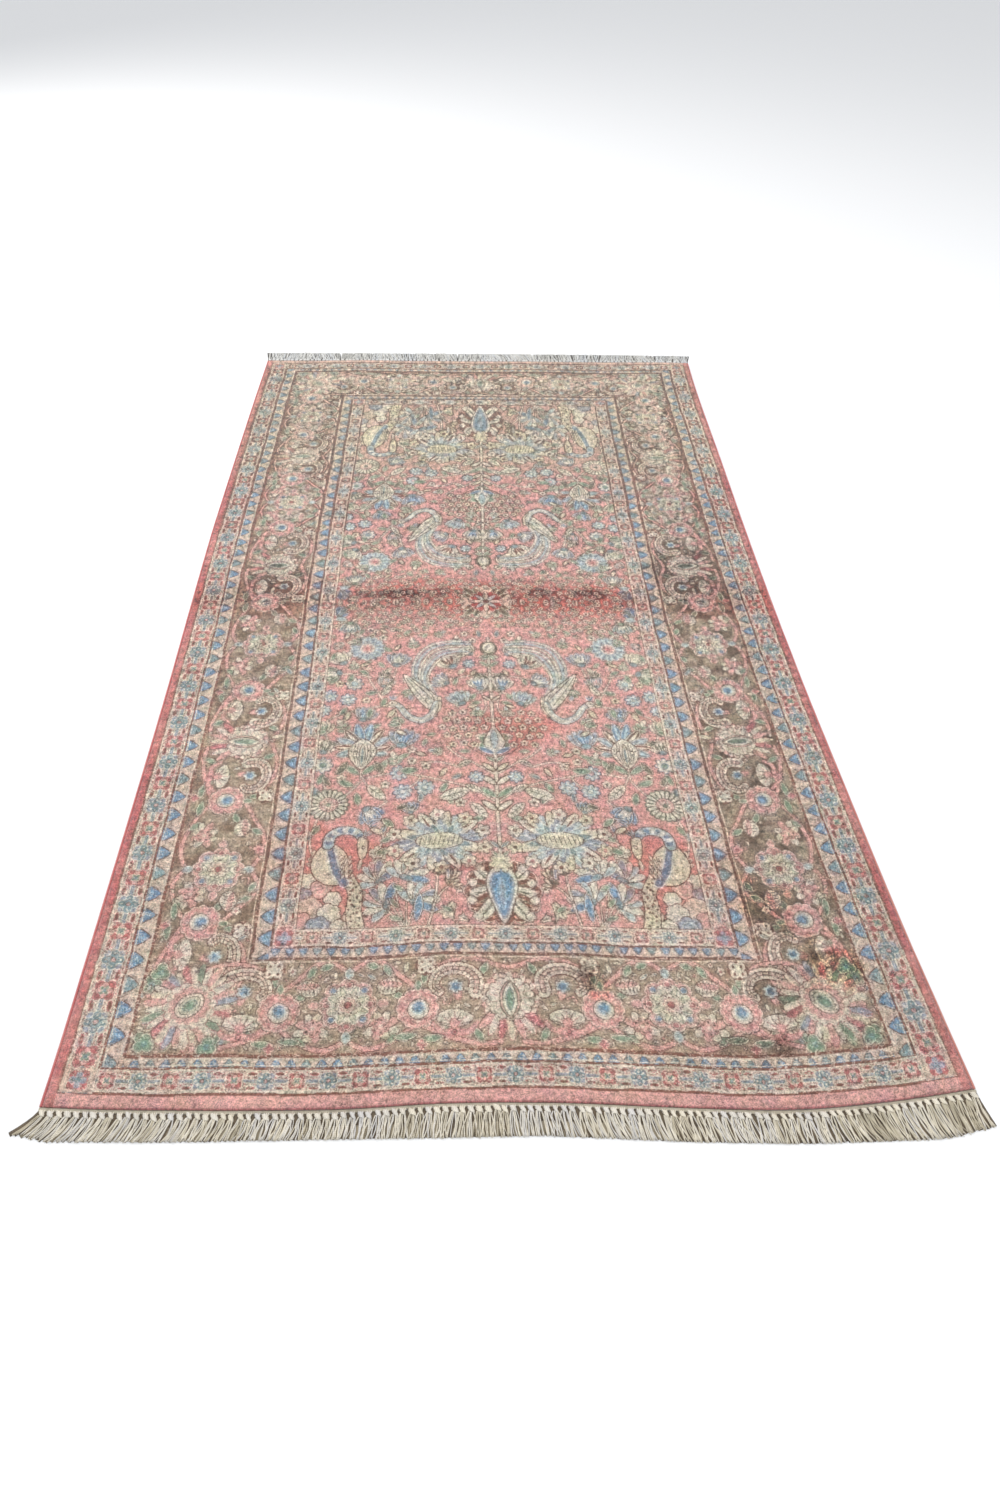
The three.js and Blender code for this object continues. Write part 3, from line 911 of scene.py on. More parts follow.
def embolden(part, yarn, over, reach):
    """Widens the lines of one yarn by some knots, where they border another yarn."""
    line = part == YARN_NUMBER[yarn]
    wide = line.copy()
    for step in range(1, reach + 1):
        wide[:, step:] |= line[:, :-step]
        wide[:, :-step] |= line[:, step:]
        wide[step:] |= line[:-step]
        wide[:-step] |= line[step:]
    part[wide & np.isin(part, [YARN_NUMBER[name] for name in over])] = YARN_NUMBER[yarn]


def field_chart(width, length, far=False):
    """A quarter of the field. The far quarters are drawn more simply, with heavier lines."""
    field = Chart(-width, 0.0, -length, 0.0, "coral")
    scatter(field, 4 if far else 8)
    branches(field)
    bush(field)
    middle_stem(field)
    centre_star(field)
    flowers(field)
    side_rosette(field, -284, -528)
    pointed_palmette(field, -234, -404)
    iris_plant(field)
    lily_plant(field)
    oval_palmette(field, -98, -606)
    bird(field)
    rocks(field)
    corner_bird(field)
    end_palmette(field)
    edge_wings(field)
    fill_gaps(field, (17.0,) if far else (17.0, 12.5))
    if far:
        embolden(field.yarn, "cream", ("coral",), 1)
        embolden(field.yarn, "brown", ("coral",), 1)
    return field


# ---- Stripes of the border ----------------------------------------------------------------------

# Their widths from the edge inward, in mm: plain band, rosette guard, triangle guard, main
# border, triangle guard, rosette guard.
SIDE_STRIPES = (13.0, 45.0, 29.0, 146.0, 27.0, 34.0)
END_STRIPES = (18.6, 34.6, 16.9, 144.3, 18.4, 31.0)


def starts(stripes):
    """Where each stripe begins, and where the last one ends."""
    return np.cumsum((0.0,) + tuple(stripes))


def triangles(s, near, far, pitch, flip):
    """A row of plump triangles between two lines. flip turns their points the other way."""
    share = (s.q - near) / (far - near)
    if flip:
        share = 1 - share
    count = np.floor(s.p / pitch)
    off = np.abs(s.p / pitch - count - 0.5) * 2
    tip = 0.8
    rise = np.clip(share / tip, 0, 1)
    gap = off - 0.72 * (1 - rise**1.4) ** 0.8 * np.clip(0.75 + 3 * share, 0, 1)
    s.paint((gap < 0.12) & (share > 0.0) & (share < tip + 0.08), "brown")
    s.paint((gap < 0) & (share > 0.02) & (share < tip), "blue")
    which = (np.sin(count * 2.4) * 3).astype(int)
    s.paint((gap < 0) & (share > 0.02) & (share < tip) & (which == -2), "teal")
    core = (gap < -0.3) & (share > 0.12) & (share < 0.55)
    s.paint(core & (np.mod(s.q + s.p * 0.4, 4.0) < 1.4), "sky")
    spark = (gap > 0.35) & (share > 0.25) & (share < 0.8)
    s.paint(spark & (np.mod(s.p + 2.0 * s.q, 11.0) < 1.5), "cream")


def guard_star(chart, u, v, size):
    """A square flower on a thick stem, with four long drops lying along the stem."""
    s = chart.at(u, v, size * 3.0)
    for side in (-1, 1):
        away, turn = side * size, 90 - 90 * side
        s.fill(s.stroke([(away * 0.5, 0), (away * 2.2, 0)], size * 0.56), "teal", "cream", 1.6)
        s.fill(s.stroke([(away * 1.1, 0), (away * 2.1, 0)], size * 0.2), "lilac")
        for rise in (-0.76 * size, 0.76 * size):
            s.fill(s.leaf(away * 0.82, rise, turn, size * 1.3, size * 0.7, 0.6), "rose", "cream", 2.0)
            s.fill(s.leaf(away * 1.05, rise, turn, size * 0.8, size * 0.26), "umber")
    s.fill(s.rays(4, size * 0.5, size * 1.15, start=45, blunt=1.1), "lilac", "cream", 1.3)
    s.fill(s.rays(4, size * 0.42, size * 1.02, start=90, blunt=0.8), "teal", "cream", 1.3)
    for turn in range(0, 360, 45):
        s.fill(s.disc(1.5, *around(size * 0.62, turn)), "cream")
    s.fill(s.disc(size * 0.24), "pink", "brown", 1.2)


def guard_rosette(chart, u, v, size, petal):
    """A square flower: four rings of petals round a teal eye."""
    s = chart.at(u, v, size * 1.7)
    s.fill(s.rays(4, size * 0.62, size * 1.2, start=45, blunt=0.7), "rose", "cream", 1.6)
    s.fill(s.rays(4, size * 0.35, size * 0.92, start=45, blunt=0.6), petal, "umber", 1.1)
    s.fill(s.rays(4, size * 0.25, size * 0.8, start=90, blunt=0.7), "pink", "umber", 1.2)
    s.fill(s.rays(4, size * 0.2, size * 0.5, start=45, blunt=0.8), "green", "cream", 1.2)
    s.fill(s.disc(size * 0.18), "teal")


def rosette_guard(chart, near, far, half, pitch, petal):
    """Stars and rosettes by turns on a stem. Stars come first, so that rosettes lie over them."""
    s = chart.everywhere()
    band = (s.q > near) & (s.q < far)
    middle = (near + far) / 2
    size = (far - near) * 0.4
    s.paint(band, "peach")
    curls = np.sin(s.p * 0.9 + np.sin(s.q * 1.1) * 2) * np.sin(s.q * 0.8 + s.p * 0.13)
    s.paint(band & (curls > 0.55), "brown")
    s.paint(band & (np.sin(s.p * 0.7 + 2.0) * np.sin(s.q * 0.9 + s.p * 0.21) > 0.6), "rose")
    count = int(half / (pitch / 2)) + 1
    steps = range(-count, count + 1)
    for step in [step for step in steps if step % 2 == 0]:
        guard_star(chart, step * pitch / 2, middle, size)
    for step in [step for step in steps if step % 2]:
        guard_rosette(chart, step * pitch / 2, middle, size, petal)
    for edge in (near + 1.2, far - 1.2):
        s.paint(np.abs(s.q - edge) < 1.4, "cream")


def wavy_line(s, level, width, yarn, key, reach):
    """A line that wanders by less than a millimetre. key makes each line's way its own."""
    wander = 0.5 * np.sin(s.p / 31.0 + key) + 0.4 * np.sin(s.p / 13.0 + 2 * key)
    s.paint((np.abs(s.q - level - wander) < width / 2) & (np.abs(s.p) < reach), yarn)


# ---- Motifs of the main border ------------------------------------------------------------------
# u runs along the border and v points into the rug.


def shield_rosette(chart, u, v):
    """A large flower whose lower petals are longer, round a pink eye."""
    s = chart.at(u, v, 80)
    for number, turn in enumerate(range(-180, 180, 15)):
        low = -150 < turn < -30
        long, wide = (64, 15) if low else (42, 17)
        yarns = ("cream", "rose", "straw", "pink") if low else ("cream", "pink", "cream", "peach")
        edge = "brown" if number % 2 else "rose"
        s.fill(s.leaf(0, 2, turn, long, wide, 0.42), yarns[number % 4], edge, 1.4)
    s.fill(s.rays(14, 30, 35, 0, 2, blunt=0.6), "cream", "brown", 1.4)
    for turn in range(0, 360, 24):
        ends = [(p, 2 + q) for p, q in (around(18, turn, 20), around(29, turn))]
        s.fill(s.stroke(ends, 1.6), "pink")
    eye = curve(both_sides(((0, 28), (9, 14), (11, 0), (9, -14), (0, -28))), 4, True)
    s.fill(s.outline([(p * 1.4, q * 1.1) for p, q in eye]), "pink", "olive", 1.6)
    s.fill(s.outline(eye), "cream", "olive", 1.7)
    s.fill(s.leaf(0, -18, 90, 38, 12), "green", "teal", 1.6)


def petal_ring(chart, u, v):
    s = chart.at(u, v, 45)
    s.tie(s.rays(12, 26, 31, blunt=0.5), "pink", "cream", 1.6)
    s.fill(s.rays(12, 20, 26, start=75, blunt=0.5), "pink", "rose", 1.6)
    for turn in range(0, 360, 30):
        s.fill(s.disc(2.0, *around(21, turn)), "cream" if turn % 60 else "rose")
    s.fill(s.disc(15.5, 1, -2), "cream", "brown", 1.2)
    s.fill(s.disc(11, 1, 0), "sky", "cream", 1.4)
    s.fill(s.disc(7.5, 1, 1), "blue")
    s.fill(s.leaf(0, 26, 90, 16, 10), "green", "cream", 1.3)


def lobed_medallion(chart, u, v):
    s = chart.at(u, v, 70)
    s.tie(s.rays(8, 34, 42, blunt=0.6), "pink", "cream", 1.6)
    s.fill(s.rays(8, 25, 33, start=67.5, blunt=0.6), "cream", "rose", 1.6)
    for turn in range(22, 382, 45):
        s.fill(s.leaf(0, 0, turn, 31, 9), "straw", "green", 1.3)
    for turn in range(0, 360, 45):
        p, q = around(31, turn)
        s.fill(s.disc(6.4, p, q), "cream", "brown", 1.0)
        s.fill(s.disc(4.2, p, q), "blue" if turn % 90 else "rose")
    s.fill(s.rays(8, 12, 18, blunt=0.7), "cream", "brown", 1.4)
    s.fill(s.rays(8, 8, 12, blunt=0.7), "straw", "rose", 1.2)
    s.fill(s.disc(6.0), "madder", "brown", 1.2)
    for turn, yarn in ((90, "sky"), (270, "sky"), (0, "pink"), (180, "pink")):
        s.tie(s.leaf(*around(39, turn), turn, 18, 14), yarn, "cream", 1.5)


def scroll_leaf(chart, u, v, flip):
    """A fat curled leaf with a small blue flower in its crook."""
    s = chart.at(u, v, 60, 0, 1.0, flip)
    back = curve([(-30, -14), (-32, 4), (-20, 18), (2, 22), (22, 14), (30, -4), (22, -14)])
    layers(s, back, (25, 17, "umber"), (21, 13, "cream"))
    s.fill(s.stroke(back, 9, 5), "pink", "brown", 1.2)
    s.fill(s.stroke(back, 2.0, 1.6), "straw")
    for point in back[1:-1:2]:
        s.fill(s.stroke([point * 0.74, point * 1.2], 1.3), "brown")
    s.fill(s.leaf(-3, -8, 262, 20, 12), "pink", "rose", 1.4)
    s.tie(s.rays(6, 6, 11, -2, -6, blunt=0.7), "sky", "cream", 1.4)
    s.fill(s.disc(5.4, -2, -6), "blue")


def cup_petal(chart, u, v, flip):
    """A cream fan in a cup of curled pink petals."""
    s = chart.at(u, v, 55, 0, 1.0, flip)
    for side in (-1, 1):
        cup = curve([(3 * side, -19), (20 * side, -18), (31 * side, -6)])
        layers(s, cup, (10, 6, "rose"), (7, 4, "pink"))
    shape(s, both_sides(((0, -13), (20, -8), (27, 4), (14, 13), (0, 15))), "cream", "brown", 1.5)
    for turn in range(-75, 90, 25):
        end = (22 * np.sin(np.radians(turn)), -10 + 21 * np.cos(np.radians(turn)))
        s.fill(s.stroke([(0, -10), end], 1.4), "brown" if turn % 50 else "rose")
    s.fill(s.disc(7, 0, -6), "pink", "rose", 1.3)
    s.fill(s.disc(4, 0, -19), "rose", "brown", 1.0)


def bird_flower(chart, u, v, flip):
    """A side flower with a dotted heart and a curled petal."""
    s = chart.at(u, v, 50, 0, 1.0, flip)
    for turn, yarn, long in (
        (200, "cream", 28), (160, "pink", 28), (115, "cream", 24), (70, "straw", 24), (25, "pink", 26),
        (-25, "cream", 26), (-70, "pink", 22), (-115, "straw", 22),
    ):
        s.fill(s.leaf(0, 0, turn, long, 15, 0.5), yarn, "brown", 1.4)
    s.fill(s.rays(6, 9, 13, blunt=0.7), "pink", "rose", 1.2)
    for turn in range(30, 390, 60):
        s.fill(s.disc(1.9, *around(9, turn)), "brown")
    s.fill(s.disc(3.2), "cream")


def cross_flower(chart, u, v):
    s = chart.at(u, v, 28)
    s.fill(s.disc(16), "umber")
    for turn in range(45, 405, 90):
        p, q = around(8.4, turn)
        s.fill(s.disc(6.6, p, q), "cream")
        s.fill(s.disc(2.4, p, q), "umber")
    s.fill(s.disc(2.6), "cream")


class Bay:
    """A stretch of the main border. share is 0 at its first motif and 1 at its last."""

    def __init__(self, chart, first, last, middle):
        self.chart, self.first, self.middle = chart, first, middle
        self.run = last - first
        self.side = 1 if last > first else -1
        self.whole = chart.at((first + last) / 2, middle, 95)

    def at(self, share, rise):
        return self.first + self.run * share, self.middle + rise

    def vine(self, *points):
        line = [(self.run * (share - 0.5), rise) for share, rise in points]
        stem(self.whole, line, 6.0, "pink", 1.2, "umber", 7)

    def leaves(self, *rows):
        for share, rise, turn, long in rows:
            s = self.chart.at(*self.at(share, rise), 34)
            leaf(s, 0, 0, turn if self.side > 0 else 180 - turn, long, 11)


def shield_bay(chart, shield, ring, middle):
    """The vines and flowers between a shield rosette, or a corner, and the ring beside it."""
    bay = Bay(chart, shield, ring, middle)
    bay.vine((0.0, 50), (0.12, 54), (0.36, 64), (0.66, 60), (0.86, 40), (1.0, 26))
    bay.vine((0.12, -62), (0.26, -64), (0.42, -62), (0.69, -52), (0.92, -38), (1.0, -34))
    bay.leaves(
        (0.22, 58, -60, 24), (0.5, 62, -100, 22), (0.74, -54, 120, 24), (0.3, -62, 60, 24),
        (0.94, 26, 100, 22), (0.36, 2, 90, 22), (0.32, -36, 140, 22), (0.84, -20, 60, 20),
    )
    scroll_leaf(chart, *bay.at(0.6, 27), bay.side)
    cup_petal(chart, *bay.at(0.6, -28), bay.side)
    trefoil = chart.at(*bay.at(0.83, -2), 24)
    trefoil.fill(trefoil.rays(3, 3, 9, start=90, blunt=0.7), "rose", "cream", 1.2)


def medallion_bay(chart, ring, medal, middle):
    """The vines and flowers between a ring and a medallion."""
    bay = Bay(chart, ring, medal, middle)
    bay.vine((0.06, -36), (0.3, -54), (0.64, -65), (0.86, -60), (1.0, -50))
    bay.vine((0.04, 22), (0.3, 44), (0.5, 62), (0.76, 64), (1.0, 50))
    bay.leaves((0.5, 60, 240, 22), (0.76, 62, 200, 20), (0.44, -60, 130, 24), (0.2, 6, 30, 22))
    bird_flower(chart, *bay.at(0.52, -34), bay.side)
    s = chart.at(*bay.at(0.4, 25), 40, 0, 1.0, bay.side)
    shape(s, ((-18, 2), (-8, 13), (8, 13), (20, 2), (12, -12), (-6, -12)), "cream", "brown", 1.6)
    s.fill(s.leaf(-16, 2, 6, 32, 9, 0.5), "pink", "rose", 1.2)
    for p in (-10, -4, 2, 8, 13):
        s.fill(s.stroke([(p, 3), (p + 3, 11)], 1.2), "brown")
        s.fill(s.stroke([(p, -1), (p + 2, -9)], 1.2), "brown")


def corner_rosette(chart, u, v):
    """A large flower of many thin petals round a tilted eye."""
    s = chart.at(u, v, 90, 45 if u < 0 else 135)
    for number, turn in enumerate(range(0, 360, 12)):
        yarns = ("straw", "pink", "cream", "green", "cream", "rose", "straw", "lilac", "pink", "cream")
        long = 56 + 8 * np.cos(np.radians(turn)) ** 2 + (5 if number % 2 else 0)
        edge = ("brown", "straw", "rose")[number % 3]
        s.fill(s.leaf(0, 0, turn, long, 14, 0.36), yarns[number % 10], edge, 1.3)
    s.fill(s.rays(14, 32, 38, blunt=0.6), "cream", "rose", 1.5)
    s.fill(s.rays(14, 25, 31, start=75, blunt=0.6), "pink", "straw", 1.5)
    s.fill(s.disc(23, 0, 0, 0.72), "cream", "brown", 1.5)
    s.fill(s.disc(17, 0, 0, 0.68), "straw", "olive", 1.3)
    s.fill(s.disc(11.5, 0, 0, 0.62), "green", "teal", 2.0)
    side = 1 if u > 0 else -1
    for away, rise in ((50, -56), (50, 50), (-34, -60)):
        spot = chart.at(u + side * away, v + rise, 30)
        spot.tie(spot.rays(3, 6, 15, start=90, blunt=0.6), "green", "cream", 1.6)
        spot.fill(spot.disc(4), "teal")


def fill_border(chart, near, far, half):
    """Small curls, leaves and buds where the ground of the main border is bare."""
    number = 0
    for reach in (14.0, 10.0, 7.0, 5.0):
        for v in np.arange(near + reach / 2, far, 5.3):
            for u in np.arange(4.0 + 2.6 * (int(v) % 2), half, 5.1):
                s = chart.at(u, v, reach)
                if (s.view != YARN_NUMBER["taupe"])[s.disc(reach) < 0].any():
                    continue
                number += 1
                turn = (67 * number) % 360
                for side in (-1, 1):
                    spot = chart.at(side * u, v, 1.5 * reach, turn if side > 0 else 180 - turn)
                    size = reach * 0.8
                    if number % 4 == 0:
                        blossom(spot, size, ("cream", "pink", "straw")[number % 3], "rose")
                    elif number % 4 == 1 and reach > 9:
                        arc = curve([(-size, -size * 0.3), (-size * 0.2, size * 0.7),
                                     (size * 0.8, size * 0.1), (size * 0.3, -size * 0.4)])
                        stem(spot, arc, 2.2, "pink")
                        spot.fill(spot.disc(2.6, size * 0.3, -size * 0.4), "cream", "brown", 1.0)
                    else:
                        yarn = ("green", "cream", "teal", "straw")[number % 4]
                        leaf(spot, -size, 0, 0, 2 * size, size * 0.8, yarn)


def border_ring(chart, u, middle, away):
    """A ring with its leaves and small flowers. away is the side of the ring away from its medallion."""
    for lean, rise in ((-18, -52), (18, -56)):
        leaf(chart.at(u + away * lean, middle + rise, 40), -14, 0, 5 * away, 32, 11)
    small = chart.at(u + away * 6, middle - 63, 20)
    small.fill(small.rays(4, 4, 8, blunt=0.7), "rose", "cream", 1.1)
    petal_ring(chart, u, middle - 10)
    cross_flower(chart, u + 12 * away, middle + 54)


def border_lines(s, edges, half, others):
    """Umber lines with cream ones beside them, where two stripes meet, and along the field."""
    for number, edge in enumerate(edges[1:-1], 1):
        into = 1.6 if number in (1, 2, 5) else -1.6
        reach = half - others[number] + 1.0
        thick = 4.6 if number in (3, 4) else 3.6
        wavy_line(s, edge + into * (thick / 2 + 0.6), 1.7, "cream", number, reach)
        wavy_line(s, edge, thick, "umber", number, reach)
    s.paint(s.q > edges[-1] - 2.2, "umber")
    s.paint((s.q > edges[-1] - 4.0) & (s.q < edges[-1] - 2.0), "cream")


def border_chart(half, stripes, bays, knot, triangle_pitch, guard_pitch, plain, others):
    """One border. bays are its main motifs, and others are the starts of the stripes it meets."""
    edges = starts(stripes)
    chart = Chart(-half, half, 0.0, edges[-1], "coral", knot)
    s = chart.everywhere()
    for low, high, yarn in zip(edges, edges[1:], (plain, "cream", "peach", "taupe", "peach", "cream")):
        s.paint((s.q >= low) & (s.q < high), yarn)
    s.paint(s.q < 1.4, "rose")
    rosette_guard(chart, edges[1] + 2.0, edges[2] - 1.5, half, guard_pitch, "madder")
    rosette_guard(chart, edges[5] + 1.5, edges[6] - 1.5, half, guard_pitch, "rose")
    triangles(s, edges[2] + 1.2, edges[3] - 1.5, triangle_pitch, False)
    triangles(s, edges[4] + 1.5, edges[5] - 1.2, triangle_pitch, True)
    middle = (edges[3] + edges[4]) / 2
    kinds = dict(shield=[], ring=[], medal=[], corner=[])
    for kind, u in bays:
        kinds[kind].append(u)
    for (kind, u), (next_kind, next_u) in zip(bays, bays[1:]):
        pair = {kind: u, next_kind: next_u}
        if "medal" in pair:
            medallion_bay(chart, pair["ring"], pair["medal"], middle)
        else:
            shield_bay(chart, pair.get("shield", pair.get("corner")), pair["ring"], middle)
    for u in kinds["ring"]:
        medal = min(kinds["medal"], key=lambda other: abs(other - u))
        border_ring(chart, u, middle, 1 if u > medal else -1)
    for kind, motif in (("medal", lobed_medallion), ("shield", shield_rosette), ("corner", corner_rosette)):
        for u in kinds[kind]:
            motif(chart, u, middle)
    fill_border(chart, edges[3] + 8, edges[4] - 8, half)
    border_lines(s, edges, half, others)
    return chart


# The main motifs along each border, in mm from its middle.
SIDE_BAYS = (
    ("corner", -926), ("ring", -791), ("medal", -696), ("ring", -560), ("shield", -425), ("ring", -296),
    ("medal", -167), ("ring", -38), ("shield", 90), ("ring", 225), ("medal", 330), ("ring", 432),
    ("shield", 537), ("ring", 640), ("medal", 735), ("ring", 835), ("corner", 937),
)
END_BAYS = (
    ("corner", -447), ("ring", -324), ("medal", -227), ("ring", -130), ("shield", 0),
    ("ring", 130), ("medal", 227), ("ring", 324), ("corner", 447),
)


# The middle of the star along the rug, how far past it the field is drawn like its near half, and
# how far past it the field starts to stretch to reach the far border. All in mm.
STAR_Y = -39.0
NEAR_STYLE_END = 110.0
STRETCH_START = 600.0
# The main border is the fourth of the six stripes.
MAIN_BORDER = 3
STRIPES = 6


def knot_places():
    """The x of each column of knots and the y of each row, from the middle of the pile."""
    x = (np.arange(BLOCK * BLOCKS_ACROSS) + 0.5) * KNOT_X - PILE_WIDTH / 2
    y = (np.arange(BLOCK * BLOCKS_ALONG) + 0.5) * KNOT_Y - PILE_LENGTH / 2
    return x, y


def whole_field(inner_x, inner_y):
    """The field over the whole chart: one quarter, mirrored round the star."""
    x, y = knot_places()
    near_length = inner_y + STAR_Y
    far_length = inner_y - STAR_Y
    depth = np.abs(y - STAR_Y)
    far = y - STAR_Y > STRETCH_START
    shrink = (near_length - STRETCH_START) / (far_length - STRETCH_START)
    depth[far] = STRETCH_START + (depth[far] - STRETCH_START) * shrink
    near_field = field_chart(inner_x, near_length).yarn
    far_field = field_chart(inner_x, near_length, far=True).yarn
    last_row, last_column = near_field.shape[0] - 1, near_field.shape[1] - 1
    take_row = np.clip(last_row - (depth / KNOT_Y).astype(int), 0, last_row)[:, None]
    take_column = np.clip(last_column - (np.abs(x) / KNOT_X).astype(int), 0, last_column)
    near = (y - STAR_Y < NEAR_STYLE_END)[:, None]
    return np.where(near, near_field[take_row, take_column], far_field[take_row, take_column])


def on_both_edges(strip, rows):
    """An empty chart with a border along its first rows, and mirrored along its last ones."""
    whole = np.zeros((rows, strip.shape[1]), np.uint8)
    whole[:len(strip)] = strip
    whole[-len(strip):] = strip[::-1]
    return whole


def lay_borders(chart, side, end):
    """Ties the borders over the field. Each stripe turns at a corner, with the end's flowers on top."""
    x, y = knot_places()
    sides = on_both_edges(side, len(x)).T
    ends = on_both_edges(end, len(y))
    side_ring = np.digitize(PILE_WIDTH / 2 - np.abs(x), starts(SIDE_STRIPES)[1:])[None, :]
    end_ring = np.digitize(PILE_LENGTH / 2 - np.abs(y), starts(END_STRIPES)[1:])[:, None]
    same = side_ring == end_ring
    corner = same & (side_ring == MAIN_BORDER)
    use_side = (side_ring < STRIPES) & ((side_ring < end_ring) | same & ~corner)
    use_end = (end_ring < STRIPES) & ((end_ring < side_ring) | corner)
    ends = np.where(corner & (ends == YARN_NUMBER["taupe"]), sides, ends)
    chart[use_side] = sides[use_side]
    chart[use_end] = ends[use_end]


def guard_corners(whole):
    """A square with a rosette where two guards of rosettes meet."""
    side, end = starts(SIDE_STRIPES), starts(END_STRIPES)
    for ring in (1, 5):
        x = PILE_WIDTH / 2 - (side[ring] + side[ring + 1]) / 2
        y = PILE_LENGTH / 2 - (end[ring] + end[ring + 1]) / 2
        for place in ((-x, -y), (-x, y), (x, -y), (x, y)):
            s = whole.at(*place, 30)
            inside = np.abs(s.p) < SIDE_STRIPES[ring] / 2 - 1
            s.paint(inside & (np.abs(s.q) < END_STRIPES[ring] / 2 - 1), "peach")
            s.fill(s.rays(4, 8, 18, start=45, blunt=0.7), "madder", "cream", 1.4)
            s.fill(s.rays(4, 5, 13, blunt=0.7), "lilac", "rose", 1.4)
            s.fill(s.disc(3.4), "teal")


def whole_chart():
    """The whole design, a yarn number for each knot, in rows from the near end."""
    half_x, half_y = PILE_WIDTH / 2, PILE_LENGTH / 2
    side_edges, end_edges = starts(SIDE_STRIPES), starts(END_STRIPES)
    side = border_chart(half_y, SIDE_STRIPES, SIDE_BAYS, (KNOT_Y, KNOT_X), 38.0, 95.0, "madder", end_edges)
    end = border_chart(half_x, END_STRIPES, END_BAYS, (KNOT_X, KNOT_Y), 20.5, 82.0, "pink", side_edges)
    whole = Chart(-half_x, half_x, -half_y, half_y, "coral")
    whole.yarn = whole_field(half_x - sum(SIDE_STRIPES), half_y - sum(END_STRIPES))
    lay_borders(whole.yarn, side.yarn, end.yarn)
    far_part = whole.yarn[int(0.6 * len(whole.yarn)):]
    embolden(far_part, "umber", tuple(YARN_NUMBER), 1)
    embolden(far_part, "cream", ("taupe",), 2)
    guard_corners(whole)
    return whole.yarn


# ---- Meshes -------------------------------------------------------------------------------------

WEAVE_DEPTH = 4.5 * MM
GAP = 0.3 * MM
BODY_THICKNESS = 5.5 * MM
CORD_WIDTH = 4.2 * MM
TASSELS = 112
# How far the last rows of knots sink at the edge, in mm, and the cells of the underside in blocks.
EDGE_DROPS = (0.9, 0.25, 0.05, 0.0)
UNDER_STEP_X = 12
UNDER_STEP_Y = 8
# Along the side cords, in mm: the way from ring to ring of the mesh and from wrap to wrap of yarn.
RING_STEP = 0.6
WRAP_PITCH = 2.6
# The tassels, in mm: how far out and how high a knot lies, the steps between its wraps and between
# the warps that lead to it, and the radius of a strand and of a thin one.
KNOT_OUT = 4.2
KNOT_HEIGHT = 2.4
WRAP_STEP = 1.75
WARP_STEP = 2.4
STRAND_RADIUS = 0.82
THIN_RADIUS = 0.5

# Where the tassels end and how far they lean, across each end from its left (-1) to its right (1).
# Tips are in mm, and a lean is the way sideways for each way out.
NEAR_TIPS = (
    (-1, 18), (-0.93, 29), (-0.7, 34), (-0.2, 39), (0.05, 41), (0.35, 54), (0.6, 61), (0.88, 60), (1, 47),
)
FAR_TIPS = ((-1, 56), (-0.4, 59), (0.5, 61), (1, 57))
NEAR_LEAN = (
    (-1, -1.0), (-0.96, -0.7), (-0.8, -0.42), (-0.6, -0.42), (-0.45, -0.2), (-0.38, -0.05), (-0.2, -0.18),
    (-0.05, 0.0), (0.06, 0.22), (0.3, 0.3), (0.44, 0.2), (0.6, 0.12), (0.7, 0.34), (0.85, 0.3), (1, 0.16),
)
FAR_LEAN = ((-1, -0.05), (-0.3, -0.2), (0.5, -0.12), (1, 0.05))


def spread(*parts):
    """Numbers for the rows and the columns of a grid, as one row of numbers for each point."""
    return np.stack(np.broadcast_arrays(*parts), -1).reshape(-1, len(parts))


def cells(number):
    """The four corners of each cell of a grid of vertices, anticlockwise from above."""
    corners = (number[:-1, :-1], number[:-1, 1:], number[1:, 1:], number[1:, :-1])
    return np.stack(corners, -1).reshape(-1, 4)


def rim_of(number):
    """The vertices round the edge of a grid, anticlockwise from above."""
    return np.concatenate([number[0, :-1], number[:-1, -1], number[-1, :0:-1], number[:0:-1, 0]])


def wall(upper, lower):
    """Faces between two rings of vertices, one below the other."""
    return np.stack([upper, lower, np.roll(lower, -1), np.roll(upper, -1)], -1)


def read(table, at):
    return np.interp(at, [row[0] for row in table], [row[1] for row in table])


def resample(grid, count):
    """A grid of points drawn again with count rows, on smooth curves through its own rows."""
    last = len(grid) - 1
    at = np.linspace(0, last, count)
    i = np.minimum(at.astype(int), last - 1)
    t = (at - i)[:, None, None]
    grid = np.concatenate([2 * grid[:1] - grid[1:2], grid, 2 * grid[-1:] - grid[-2:-1]])
    before, start, end, after = grid[i], grid[i + 1], grid[i + 2], grid[i + 3]
    pull = 2 * before - 5 * start + 4 * end - after
    bend = 3 * start - before - 3 * end + after
    return start + 0.5 * ((end - before) * t + pull * t**2 + bend * t**3)


def cad_top(node):
    """The top corners of the CAD body as rows along Y of points along X."""
    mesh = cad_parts[node].data
    points = np.empty(3 * len(mesh.vertices))
    mesh.vertices.foreach_get("co", points)
    points = points.reshape(-1, 3)
    top = points[points[:, 2] > BODY_THICKNESS * 0.8]
    top = np.unique(np.round(top, 5), axis=0)
    top = top[np.argsort(top[:, 1])]
    # a row ends where y jumps by over 20 mm, and it spans the width of the rug
    columns = next(n for n in range(2, 200) if len(top) % n == 0 and top[n - 1, 1] + 0.02 < top[n, 1]
                   and np.ptp(top[:n, 0]) > 1.0)
    rows = top.reshape(-1, columns, 3)
    return np.stack([row[np.argsort(row[:, 0])] for row in rows])


